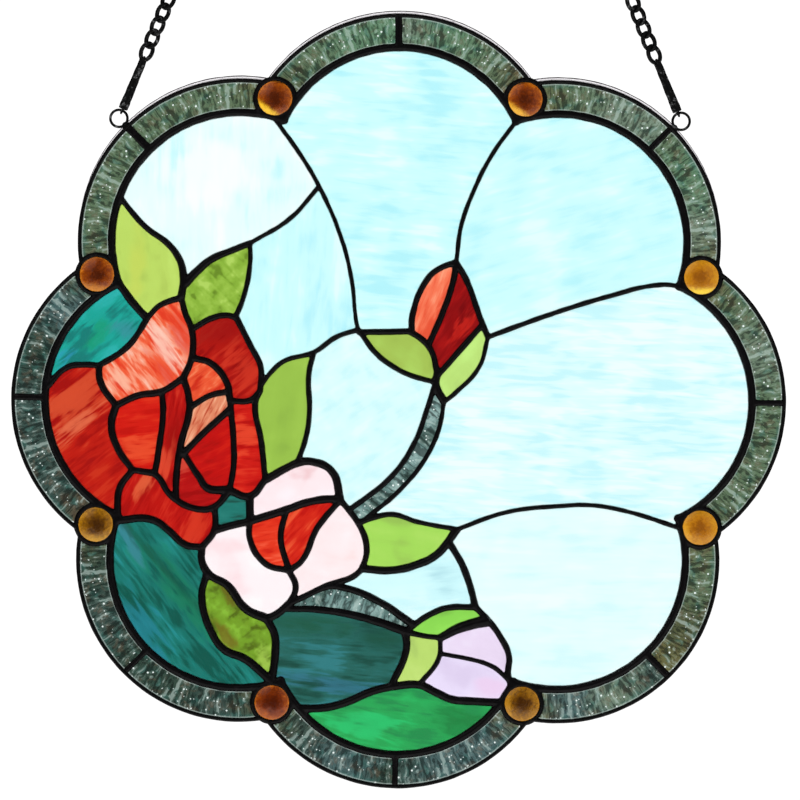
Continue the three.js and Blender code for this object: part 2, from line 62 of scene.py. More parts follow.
MM = 0.001
scene = bpy.context.scene

# Sizes of the panel, as in the solids

came_low, came_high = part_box("edge_came")
CENTRE = (came_low + came_high) / 2
PANEL_RADIUS = (came_high.x - came_low.x) / 2
RIM_DEPTH = came_high.y - came_low.y
LOBES = 8
LOBE_PITCH = 360 / LOBES
LOBE_CENTRE = 0.58 * PANEL_RADIUS
LOBE_RADIUS = PANEL_RADIUS - LOBE_CENTRE
RIM_WIDTH = 2.2 * MM
BORDER_WIDTH = 15.7 * MM
RING_WIDTH = 4.2 * MM
JEWEL_RADIUS = 10.3 * MM
JEWEL_DEPTH = 9 * MM
COLLAR_WIDTH = 2 * MM
LEAD_DEPTH = 5 * MM
LOW_SOLDER = 0.9 * LEAD_DEPTH  # depth of the dividers and of the solder in the notches
GLASS_THICKNESS = 3 * MM
RIM_INNER = LOBE_RADIUS - RIM_WIDTH
RING_OUTER = RIM_INNER - BORDER_WIDTH
RING_RADIUS = RING_OUTER - RING_WIDTH / 2
BORDER_MIDDLE = (RING_OUTER + RIM_INNER) / 2
HALF_LOBE = math.radians(LOBE_PITCH / 2)
APEXES = [90 + i * LOBE_PITCH for i in range(LOBES)]
NOTCHES = [90 + (i + 0.5) * LOBE_PITCH for i in range(LOBES)]
LOBE_WORDS = ("top", "upper_left", "left", "lower_left", "bottom", "lower_right", "right", "upper_right")
PICTURE_STEP = (LOBE_CENTRE + RING_RADIUS) / 100  # places in the picture are hundredths of the ring's reach

# Sizes of what the panel hangs by

GAP = 0.3 * MM
HANGER_DIRECTION = 45  # degrees from upright to the lobes that carry the rings
CHAINS_MEET = 570 * MM
LOOP_RADIUS = 5.05 * MM
LOOP_WIRE = 1.4 * MM
EYE_RADIUS = 1.9 * MM
EYE_WIRE = 1.3 * MM
ROD_LENGTH = 28.5 * MM
ROD_RADIUS_LOW = 2.7 * MM
ROD_RADIUS_HIGH = 2 * MM
LINKS = 6
LINK_PITCH = 8.3 * MM
LINK_HALF_WIDTH = 3.2 * MM
LINK_WIRE = 2.2 * MM
LINK_TWIST = 1.2 * MM
END_RING_RADIUS = 6.1 * MM
END_RING_WIRE = 1.8 * MM
LINK_HALF_LENGTH = (LINK_PITCH + LINK_WIRE) / 2
ROD_FOOT = LOOP_RADIUS + EYE_RADIUS
UPPER_EYE = ROD_FOOT + ROD_LENGTH + EYE_RADIUS
FIRST_LINK = UPPER_EYE + LINK_HALF_LENGTH
END_RING_GRIP = 0.9 * (LINK_WIRE + END_RING_WIRE) / 2
END_RING = FIRST_LINK + (LINKS - 1) * LINK_PITCH + LINK_HALF_LENGTH - END_RING_GRIP + END_RING_RADIUS
LOOP_REACH = PANEL_RADIUS + GAP + LOOP_RADIUS + LOOP_WIRE / 2
CHAIN_LEAN = math.atan2(
    LOOP_REACH * math.sin(math.radians(HANGER_DIRECTION)),
    CHAINS_MEET - LOOP_REACH * math.cos(math.radians(HANGER_DIRECTION)),
)


def polar(radius, degrees, about=CENTRE):
    """A point that far from another in the panel's middle plane, in a direction in degrees."""
    angle = math.radians(degrees)
    return about + Vector((radius * math.cos(angle), 0, radius * math.sin(angle)))


def in_picture(x, z):
    """A point of the picture, in hundredths of the ring's reach."""
    return CENTRE + Vector((x, 0, z)) * PICTURE_STEP


def on_ring(degrees):
    """The point of the lobed ring in a direction."""
    off = math.radians((degrees - 90 + LOBE_PITCH / 2) % LOBE_PITCH - LOBE_PITCH / 2)
    reach = LOBE_CENTRE * math.cos(off) + math.sqrt(RING_RADIUS**2 - (LOBE_CENTRE * math.sin(off)) ** 2)
    return polar(reach, degrees)


def notch_reach(arc):
    """Distance from the panel centre to the notch of a lobed line of that arc radius."""
    return LOBE_CENTRE * math.cos(HALF_LOBE) + math.sqrt(arc**2 - (LOBE_CENTRE * math.sin(HALF_LOBE)) ** 2)


def widest_angle(arc):
    """How far to each side of a lobe's axis its arc runs, in degrees about the lobe centre."""
    reach = notch_reach(arc)
    return math.degrees(math.atan2(reach * math.sin(HALF_LOBE), reach * math.cos(HALF_LOBE) - LOBE_CENTRE))


JEWEL_REACH = (notch_reach(RING_OUTER) + notch_reach(LOBE_RADIUS)) / 2

# Camera

VIEW_WIDTH = 472.2 * MM  # how much of the panel's plane the view takes in
VIEW_DISTANCE = 2.4
VIEW_ROLL = 0.3  # the panel hangs this many degrees clockwise

camera = bpy.data.objects.new("camera", bpy.data.cameras.new("camera"))
scene.collection.objects.link(camera)
scene.camera = camera
camera.data.sensor_width = 36
camera.data.lens = 36 * VIEW_DISTANCE / VIEW_WIDTH
camera.location = CENTRE + Vector((0.85 * MM, -VIEW_DISTANCE, 0.57 * MM))
camera.rotation_euler = (math.pi / 2, -math.radians(VIEW_ROLL), 0)


# Working with meshes

MERGE_DISTANCE = 0.002 * MM
CUTTER_DEPTH = 4 * LEAD_DEPTH  # of a cylinder that cuts right through the panel
VOXEL = 0.6 * MM  # grain at which solder and came run together


def only(*objects):
    """Selects these objects alone, with the first active."""
    bpy.ops.object.select_all(action="DESELECT")
    for obj in objects:
        obj.select_set(True)
    bpy.context.view_layer.objects.active = objects[0]


def settle(obj):
    """Puts the object's place into its mesh."""
    only(obj)
    bpy.ops.object.transform_apply(location=True, rotation=True, scale=True)
    return obj


def named(obj, name):
    obj.name = name
    obj.data.name = name
    return obj


def copy_of(node, name):
    """A copy of a solid with its loose triangles merged."""
    obj = bpy.data.objects.new(name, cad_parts[node].data.copy())
    scene.collection.objects.link(obj)
    obj.data.materials.clear()
    only(obj)
    bpy.ops.object.mode_set(mode="EDIT")
    bpy.ops.mesh.select_all(action="SELECT")
    bpy.ops.mesh.remove_doubles(threshold=MERGE_DISTANCE)
    bpy.ops.object.mode_set(mode="OBJECT")
    return named(obj, name)


def join(objects, name):
    only(*objects)
    if len(objects) > 1:
        bpy.ops.object.join()
    return named(bpy.context.view_layer.objects.active, name)


def modify(obj, kind, **settings):
    """Adds a modifier and applies it."""
    only(obj)
    modifier = obj.modifiers.new(kind.title(), kind)
    for key, value in settings.items():
        setattr(modifier, key, value)
    bpy.ops.object.modifier_apply(modifier=modifier.name)
    return obj


def smooth(obj, degrees=45):
    only(obj)
    bpy.ops.object.shade_smooth_by_angle(angle=math.radians(degrees))
    return obj


def lay_uv(obj, name, rule):
    """Writes a UV map from the place of each corner."""
    layer = obj.data.uv_layers.new(name=name)
    for loop in obj.data.loops:
        layer.data[loop.index].uv = rule(obj.data.vertices[loop.vertex_index].co)


def without_uv(obj):
    while obj.data.uv_layers:
        obj.data.uv_layers.remove(obj.data.uv_layers[0])
    return obj


def relief(name, size):
    """A soft random relief for a Displace modifier, with bumps of about that size."""
    texture = bpy.data.textures.new(name, "CLOUDS")
    texture.noise_scale = size
    texture.noise_depth = 1
    return texture


def uneven(obj, texture, height):
    """Moves a surface in and out by a relief of that height."""
    return modify(obj, "DISPLACE", texture=texture, texture_coords="LOCAL", strength=height, mid_level=0.5)


def finish_piece(obj, material, slot, *nodes):
    """Gives a piece its material, puts it under the root body and hides the solids it stands for."""
    obj.data.materials.clear()
    obj.data.materials.append(material)
    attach(obj, "root")
    if nodes:
        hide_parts(*nodes)
    return obj


def spin_about(bar, centre, degrees, steps):
    """Sweeps a flat section about a centre in the panel's plane."""
    only(bar)
    bpy.ops.object.mode_set(mode="EDIT")
    bpy.ops.mesh.select_all(action="SELECT")
    bpy.ops.mesh.spin(steps=steps, angle=math.radians(degrees), center=centre, axis=(0, 1, 0))
    bpy.ops.mesh.select_all(action="SELECT")
    bpy.ops.mesh.remove_doubles(threshold=MERGE_DISTANCE)
    bpy.ops.mesh.normals_make_consistent(inside=False)
    bpy.ops.object.mode_set(mode="OBJECT")
    return bar


def swept_bar(centre, radius, start, end, width, depth, steps, sides=12):
    """A rounded bar swept about a centre in the panel's plane, between two directions in degrees."""
    bpy.ops.mesh.primitive_circle_add(vertices=sides, radius=0.5, fill_type="NGON", location=(0, 0, 0))
    bar = bpy.context.active_object
    bar.scale = (width, depth, 1)
    bar.rotation_euler = (0, -math.radians(start), 0)
    bar.location = polar(radius, start, centre)
    return spin_about(settle(bar), centre, end - start, steps)


# Shared effects of the materials


def tone(red, green, blue):
    """A screen colour as linear light, with full alpha."""
    light = [((c / 255 + 0.055) / 1.055) ** 2.4 if c > 10 else c / 255 / 12.92 for c in (red, green, blue)]
    return (*light, 1)


def effect(name, inputs, outputs):
    """An empty node group with named sockets."""
    group = bpy.data.node_groups.new(name, "ShaderNodeTree")
    for label, kind in inputs.items():
        group.interface.new_socket(label, in_out="INPUT", socket_type=f"NodeSocket{kind}")
    for label, kind in outputs.items():
        group.interface.new_socket(label, in_out="OUTPUT", socket_type=f"NodeSocket{kind}")
    start = group.nodes.new("NodeGroupInput")
    end = group.nodes.new("NodeGroupOutput")
    return group, start, end


def wire(tree, target, source):
    """Feeds a socket from another socket, or gives it a plain value."""
    if isinstance(source, bpy.types.NodeSocket):
        tree.links.new(source, target)
    else:
        target.default_value = source


def feed(tree, kind, *values):
    """A new node of that kind, with its first inputs fed."""
    node = tree.nodes.new(kind)
    for socket, value in zip(node.inputs, values):
        wire(tree, socket, value)
    return node


def maths(tree, operation, *values, clamp=False):
    node = feed(tree, "ShaderNodeMath", *values)
    node.operation = operation
    node.use_clamp = clamp
    return node.outputs[0]


def vector_maths(tree, operation, *values):
    node = feed(tree, "ShaderNodeVectorMath", *values)
    node.operation = operation
    return node.outputs[0]


def about_half(tree, value, strength):
    """How far a value from 0 to 1 is from its middle, made stronger or weaker."""
    return maths(tree, "MULTIPLY", maths(tree, "SUBTRACT", value, 0.5), strength)


def scaled(tree, vector, scale):
    node = vector_maths(tree, "SCALE", vector).node
    wire(tree, node.inputs["Scale"], scale)
    return node.outputs[0]


def length_of(tree, vector):
    return vector_maths(tree, "LENGTH", vector).node.outputs["Value"]


def turned(tree, vector, angle):
    """A place in the panel's plane, turned about the line of sight."""
    node = tree.nodes.new("ShaderNodeVectorRotate")
    node.rotation_type = "Y_AXIS"
    wire(tree, node.inputs["Vector"], vector)
    wire(tree, node.inputs["Angle"], angle)
    return node.outputs[0]


def from_parts(tree, x, y, z):
    return feed(tree, "ShaderNodeCombineXYZ", x, y, z).outputs[0]


def parts_of(tree, vector):
    return feed(tree, "ShaderNodeSeparateXYZ", vector).outputs


def noise(tree, vector, scale, detail=3.0, roughness=0.55, distortion=0.0):
    node = tree.nodes.new("ShaderNodeTexNoise")
    wire(tree, node.inputs["Vector"], vector)
    wire(tree, node.inputs["Scale"], scale)
    node.inputs["Detail"].default_value = detail
    node.inputs["Roughness"].default_value = roughness
    node.inputs["Distortion"].default_value = distortion
    return node.outputs[0]


def mapped(tree, value, low, high, to_low=0.0, to_high=1.0):
    """Passes softly from one value to another while the given one goes from low to high."""
    node = feed(tree, "ShaderNodeMapRange", value, low, high, to_low, to_high)
    node.interpolation_type = "SMOOTHSTEP"
    return node.outputs[0]


def blended(tree, share, first, second):
    """One colour passing into another. Of a Mix node's sockets, 6 and 7 take the colours and 2 gives one."""
    node = feed(tree, "ShaderNodeMix", share)
    node.data_type = "RGBA"
    wire(tree, node.inputs[6], first)
    wire(tree, node.inputs[7], second)
    return node.outputs[2]


def in_panel(tree, vector):
    """The place in the panel's plane alone, so that front and back of a sheet show the same figure."""
    return vector_maths(tree, "MULTIPLY", vector, (1, 0, 1))


def drawn_out(group, place, turn, fineness, length):
    """A place in the panel turned and made finer, so that a figure there is longer one way than the other."""
    shares = from_parts(group, maths(group, "DIVIDE", fineness, length), fineness, fineness)
    return vector_maths(group, "MULTIPLY", turned(group, place, turn), shares)


def streaked_figure():
    """The figure of drawn opal glass: long streaks one way, soft clouds and fine ripples."""
    numbers = ("Turn", "Length", "Fineness", "Cloud Fineness", "Cloud Share", "Contrast", "Balance",
               "Ripple Turn", "Ripple Fineness", "Ripple")
    group, start, end = effect(
        "streaked_figure",
        {"Vector": "Vector", "Centre": "Vector", **dict.fromkeys(numbers, "Float")},
        {"Figure": "Float"},
    )
    given = start.outputs
    place = in_panel(group, vector_maths(group, "SUBTRACT", given["Vector"], given["Centre"]))
    seed = scaled(group, given["Centre"], 90)
    drawn = drawn_out(group, place, given["Turn"], given["Fineness"], given["Length"])
    drawn = vector_maths(group, "ADD", drawn, seed)
    streaks = noise(group, drawn, 1.0, detail=4, roughness=0.62, distortion=0.35)
    spread = vector_maths(group, "ADD", scaled(group, place, given["Cloud Fineness"]), seed)
    clouds = noise(group, spread, 1.0, detail=2, distortion=0.3)
    mix = feed(group, "ShaderNodeMix", given["Cloud Share"])
    wire(group, mix.inputs[2], streaks)
    wire(group, mix.inputs[3], clouds)
    strong = about_half(group, mix.outputs[0], given["Contrast"])
    fine = drawn_out(group, place, given["Ripple Turn"], given["Ripple Fineness"], 7.0)
    ripple = about_half(group, noise(group, fine, 1.0, detail=2, distortion=0.7), given["Ripple"])
    whole = maths(group, "ADD", maths(group, "ADD", strong, ripple), given["Balance"], clamp=True)
    wire(group, end.inputs["Figure"], whole)
    return group


def soft_patch():
    """A long soft patch of another colour, its border broken up by the figure of the sheet."""
    group, start, end = effect(
        "soft_patch",
        {"Vector": "Vector", "Centre": "Vector", "Turn": "Float", "Long": "Float", "Short": "Float",
         "Figure": "Float"},
        {"Mask": "Float"},
    )
    given = start.outputs
    place = in_panel(group, vector_maths(group, "SUBTRACT", given["Vector"], given["Centre"]))
    along = turned(group, place, given["Turn"])
    shares = from_parts(group, maths(group, "DIVIDE", 1.0, given["Long"]), 0.0,
                        maths(group, "DIVIDE", 1.0, given["Short"]))
    out = length_of(group, vector_maths(group, "MULTIPLY", along, shares))
    broken = about_half(group, given["Figure"], -1.5)
    wire(group, end.inputs["Mask"], mapped(group, maths(group, "ADD", out, broken), 1.3, 0.35))
    return group


def rolled_surface():
    """The height of a rolled sheet: a lazy waviness with a finer grain on it."""
    group, start, end = effect(
        "rolled_surface", {"Vector": "Vector", "Fineness": "Float"}, {"Height": "Float"}
    )
    waves = noise(group, start.outputs["Vector"], start.outputs["Fineness"], detail=1)
    grain_scale = maths(group, "MULTIPLY", start.outputs["Fineness"], 7.0)
    grain = noise(group, start.outputs["Vector"], grain_scale, detail=2)
    wire(group, end.inputs["Height"], maths(group, "ADD", waves, maths(group, "MULTIPLY", grain, 0.15)))
    return group


def rippled_figure():
    """Painted light on clear rippled glass: painted shade in the troughs, painted highlights on the crests
    and small painted glints.

    The ripples run across the first axis of the vector.
    """
    group, start, end = effect(
        "rippled_figure",
        {"Vector": "Vector", "Pitch": "Float", "Glints": "Float"},
        {"Trough_Shade": "Float", "Crest_Highlight": "Float", "Glint": "Float", "Height": "Float"},
    )
    given = start.outputs
    squeezed = vector_maths(group, "MULTIPLY", given["Vector"], (1.0, 0.2, 1.0))
    warp = scaled(group, noise(group, given["Vector"], 1.4, detail=2), 0.45)
    ripple = noise(group, vector_maths(group, "ADD", squeezed, warp), given["Pitch"], detail=3, roughness=0.6,
                   distortion=0.4)
    wire(group, end.inputs["Trough_Shade"], mapped(group, ripple, 0.52, 0.4))
    wire(group, end.inputs["Crest_Highlight"], mapped(group, ripple, 0.53, 0.66))
    wire(group, end.inputs["Height"], ripple)
    cells = group.nodes.new("ShaderNodeTexVoronoi")
    wire(group, cells.inputs["Vector"], given["Vector"])
    cells.inputs["Scale"].default_value = 8
    chance = parts_of(group, cells.outputs["Color"])[0]
    size = maths(group, "MULTIPLY", parts_of(group, cells.outputs["Color"])[1], 0.22)
    dots = mapped(group, maths(group, "SUBTRACT", cells.outputs["Distance"], size), 0.14, 0.02)
    clusters = mapped(group, noise(group, given["Vector"], 1.6, detail=1), 0.4, 0.65, 0.25, 1.6)
    limit = maths(group, "SUBTRACT", 1.0, maths(group, "MULTIPLY", given["Glints"], clusters))
    rare = maths(group, "GREATER_THAN", chance, limit)
    wire(group, end.inputs["Glint"], maths(group, "MULTIPLY", dots, rare))
    return group


def handworked():
    """The unevenness of soldered metal: slow swells, small pits, and patches of wear, which on the hangers
    also stand for painted glints.
    """
    group, start, end = effect(
        "handworked", {"Vector": "Vector"}, {"Height": "Float", "Wear_And_Glints": "Float"}
    )
    swell = noise(group, start.outputs["Vector"], 140.0, detail=2)
    pits = noise(group, start.outputs["Vector"], 900.0, detail=3)
    wire(group, end.inputs["Height"], maths(group, "ADD", swell, maths(group, "MULTIPLY", pits, 0.3)))
    patches = noise(group, start.outputs["Vector"], 260.0, detail=4, roughness=0.7)
    wire(group, end.inputs["Wear_And_Glints"], mapped(group, patches, 0.55, 0.72))
    return group


STREAKED_FIGURE = streaked_figure()
SOFT_PATCH = soft_patch()
ROLLED_SURFACE = rolled_surface()
RIPPLED_FIGURE = rippled_figure()
HANDWORKED = handworked()


# Materials


def new_material(name):
    material = bpy.data.materials.new(name)
    material.use_nodes = True
    tree = material.node_tree
    place = tree.nodes.new("ShaderNodeTexCoord")
    return material, tree, tree.nodes["Principled BSDF"], place.outputs


def use(tree, group, **values):
    """Places a shared effect in a material, with its own values."""
    node = tree.nodes.new("ShaderNodeGroup")
    node.node_tree = group
    for label, value in values.items():
        wire(tree, node.inputs[label.replace("_", " ")], value)
    return node.outputs


def ramp(tree, figure, tones):
    """Passes through the tones one after another."""
    node = tree.nodes.new("ShaderNodeValToRGB")
    node.color_ramp.interpolation = "EASE"
    steps = node.color_ramp.elements
    for i, one in enumerate(tones):
        at = i / (len(tones) - 1)
        step = steps[i] if i < 2 else steps.new(at)
        step.position = at
        step.color = tone(*one)
    wire(tree, node.inputs[0], figure)
    return node.outputs[0]


def bump(tree, shader, height, distance, strength=1.0):
    node = tree.nodes.new("ShaderNodeBump")
    node.inputs["Strength"].default_value = strength
    node.inputs["Distance"].default_value = distance
    wire(tree, node.inputs["Height"], height)
    wire(tree, shader.inputs["Normal"], node.outputs[0])


def as_glass(shader, roughness):
    shader.inputs["Transmission Weight"].default_value = 1
    shader.inputs["Roughness"].default_value = roughness
    shader.inputs["IOR"].default_value = 1.5


PATCH_STRENGTH = 0.72


def opal_glass(name, centre, tones, patches, length, fineness, cloud, clouds, contrast, turn=0,
               balance=0.5, ripple=0, ripple_turn=None, ripples=230, roughness=0.3):
    """Streaky sheet glass. Tones run from the deepest to the palest. A cloud is given by its size in mm.

    A patch is its tone, its place in the picture, its half length and half width there, and its slope.
    The ripples run with the streaks where they have no turn of their own.
    """
    material, tree, shader, place = new_material(name)
    if ripple_turn is None:
        ripple_turn = turn
    figure = use(
        tree, STREAKED_FIGURE, Vector=place["Object"], Centre=centre, Turn=math.radians(turn),
        Length=length, Fineness=fineness, Cloud_Fineness=1 / (cloud * MM), Cloud_Share=clouds,
        Contrast=contrast, Balance=balance, Ripple=ripple, Ripple_Turn=math.radians(ripple_turn),
        Ripple_Fineness=ripples,
    )["Figure"]
    colour = ramp(tree, figure, tones)
    for patch_tone, x, z, half_length, half_width, slope in patches:
        mask = use(
            tree, SOFT_PATCH, Vector=place["Object"], Centre=in_picture(x, z), Turn=math.radians(slope),
            Long=half_length * PICTURE_STEP, Short=half_width * PICTURE_STEP, Figure=figure,
        )["Mask"]
        colour = blended(tree, maths(tree, "MULTIPLY", mask, PATCH_STRENGTH), colour, tone(*patch_tone))
    wire(tree, shader.inputs["Base Color"], colour)
    height = use(tree, ROLLED_SURFACE, Vector=place["Object"], Fineness=90.0)["Height"]
    bump(tree, shader, height, 0.5 * MM, 0.5)
    as_glass(shader, roughness)
    return material


def rippled_glass(tree, shader, colour, vector, pitch, glints, edge_highlight=None):
    """Clear glass with painted light over its colour: painted shade in the troughs of its ripples, painted
    highlights on their crests and along a given border, and painted glints near white.
    """
    marks = use(tree, RIPPLED_FIGURE, Vector=vector, Pitch=pitch, Glints=glints)
    # Painted shade for the troughs and painted highlight for the crests.
    trough_shade_tone = blended(tree, 0.72, colour, tone(14, 22, 20))
    crest_highlight_tone = blended(tree, 0.34, colour, tone(200, 220, 212))
    colour = blended(tree, marks["Trough_Shade"], colour, trough_shade_tone)
    colour = blended(tree, marks["Crest_Highlight"], colour, crest_highlight_tone)
    if edge_highlight is not None:
        # Painted highlight along the given border.
        colour = blended(tree, edge_highlight, colour, tone(190, 206, 200))
    # Painted glints near white.
    colour = blended(tree, marks["Glint"], colour, tone(236, 246, 243))
    wire(tree, shader.inputs["Base Color"], colour)
    bump(tree, shader, marks["Height"], 0.8 * MM, 0.6)
    as_glass(shader, 0.12)


def border_glass(name, span, tones):
    """Rippled glass of a border tile. Its UV map runs along the tile to its span, and from 0 to 1 across."""
    material, tree, shader, place = new_material(name)
    uv = parts_of(tree, place["UV"])
    drift = about_half(tree, noise(tree, place["UV"], 1.3, detail=2), 0.5)
    share = maths(tree, "ADD", maths(tree, "DIVIDE", uv[0], span), drift)
    colour = ramp(tree, share, tones)
    tint = noise(tree, place["UV"], 2.6, detail=2, distortion=0.6)
    colour = blended(tree, mapped(tree, tint, 0.54, 0.68, 0, 0.4), colour, tone(104, 84, 66))
    colour = blended(tree, mapped(tree, tint, 0.46, 0.32, 0, 0.5), colour, tone(54, 104, 96))
    # A painted highlight along the tile's inner and outer long edges, where the glass meets the lead.
    middle = maths(tree, "ABSOLUTE", maths(tree, "SUBTRACT", uv[1], 0.5))
    ragged = maths(tree, "MULTIPLY", noise(tree, place["UV"], 6.0, detail=2), 0.06)
    edge_highlight = maths(tree, "MULTIPLY", mapped(tree, maths(tree, "ADD", middle, ragged), 0.47, 0.51), 0.5)
    rippled_glass(tree, shader, colour, place["UV"], 5.8, 0.34, edge_highlight)
    return material


def stem_glass(name, turn, tones):
    """Rippled glass of a stem, with its ripples across the stem."""
    material, tree, shader, place = new_material(name)
    along = parts_of(tree, turned(tree, in_panel(tree, place["Object"]), math.radians(turn)))
    figure = scaled(tree, from_parts(tree, along[0], along[2], 0.0), 64)
    clouds = noise(tree, place["Object"], 75.0, detail=2, distortion=0.4)
    colour = ramp(tree, mapped(tree, clouds, 0.36, 0.64), tones)
    rippled_glass(tree, shader, colour, figure, 5.0, 0.45)
    return material


def amber_jewel(name, tones, glow_tone, glow_turn, glow_share):
    """Pressed amber glass, painted with a glow on the side that light comes through the dome and a painted
    highlight round its outer border. Its UV map is 0, 0 at the middle of a jewel and 1 away from it at the
    collar.
    """
    material, tree, shader, place = new_material(name)
    out = length_of(tree, place["UV"])
    flecks = noise(tree, place["Object"], 330.0, detail=3, roughness=0.6, distortion=1.4)
    fleck_share = about_half(tree, flecks, 1.5)
    colour = ramp(tree, maths(tree, "ADD", maths(tree, "SUBTRACT", out, 0.18), fleck_share), tones)
    angle = math.radians(glow_turn)
    lean = parts_of(tree, vector_maths(tree, "MULTIPLY", place["UV"], (math.cos(angle), math.sin(angle), 0)))
    towards = maths(tree, "ADD", maths(tree, "ADD", lean[0], lean[1]), maths(tree, "MULTIPLY", flecks, 0.35))
    # A painted glow on the side of the dome that light comes through.
    painted_glow = mapped(tree, towards, 0.62, 0.98)
    colour = blended(tree, maths(tree, "MULTIPLY", painted_glow, glow_share), colour, tone(*glow_tone))
    # A painted highlight round the rim.
    rim_highlight = mapped(tree, out, 0.88, 0.95)
    colour = blended(tree, maths(tree, "MULTIPLY", rim_highlight, 0.4), colour, tone(230, 150, 58))
    wire(tree, shader.inputs["Base Color"], colour)
    bump(tree, shader, flecks, 0.4 * MM, 0.4)
    as_glass(shader, 0.22)
    return material


def toned_metal(name, colour, wear_and_glint_tone, roughness, share=1.0):
    """Metal of one tone, with patches of another tone where its surface wears. On the hangers the lighter
    patches are also painted glints; on the came this also makes the paint of a painted highlight.
    """
    material, tree, shader, place = new_material(name)
    worked = use(tree, HANDWORKED, Vector=place["Object"])
    wear_and_glint_share = maths(tree, "MULTIPLY", worked["Wear_And_Glints"], share)
    wire(tree, shader.inputs["Base Color"], blended(tree, wear_and_glint_share, tone(*colour), tone(*wear_and_glint_tone)))
    wire(tree, shader.inputs["Roughness"], mapped(tree, worked["Wear_And_Glints"], 0, 1, roughness, roughness * 0.7))
    shader.inputs["Specular IOR Level"].default_value = 0.16
    bump(tree, shader, worked["Height"], 0.35 * MM, 0.6)
    return material


SOLDER = toned_metal("solder_black", (7, 5, 7), (20, 17, 20), 0.36)
# The hangers' light patches are metal showing through the black, and also painted glints.
HANGER_METAL = toned_metal("hanger_metal", (8, 8, 9), (196, 198, 200), 0.36, 0.28)
CAME_METAL = toned_metal("came_metal", (7, 6, 7), (22, 20, 22), 0.4)
# Light paint for a painted highlight where the top of the came catches the light, and a grey line along its
# outer side.
CAME_HIGHLIGHT_PAINT = toned_metal("came_highlight_paint", (246, 243, 246), (196, 190, 196), 0.5)
HIGHLIGHT_OUTLINE_PAINT = toned_metal("highlight_outline_paint", (66, 62, 66), (206, 202, 206), 0.5)


# Solder and came

# How wide a bead of solder is, in millimetres.
HAIR = 1.9
FINE = 2.3
SLIM = 2.8
EVEN = 3.3
FULL = 3.8
STRONG = 4.4
HEAVY = 5
WEDGE = 7

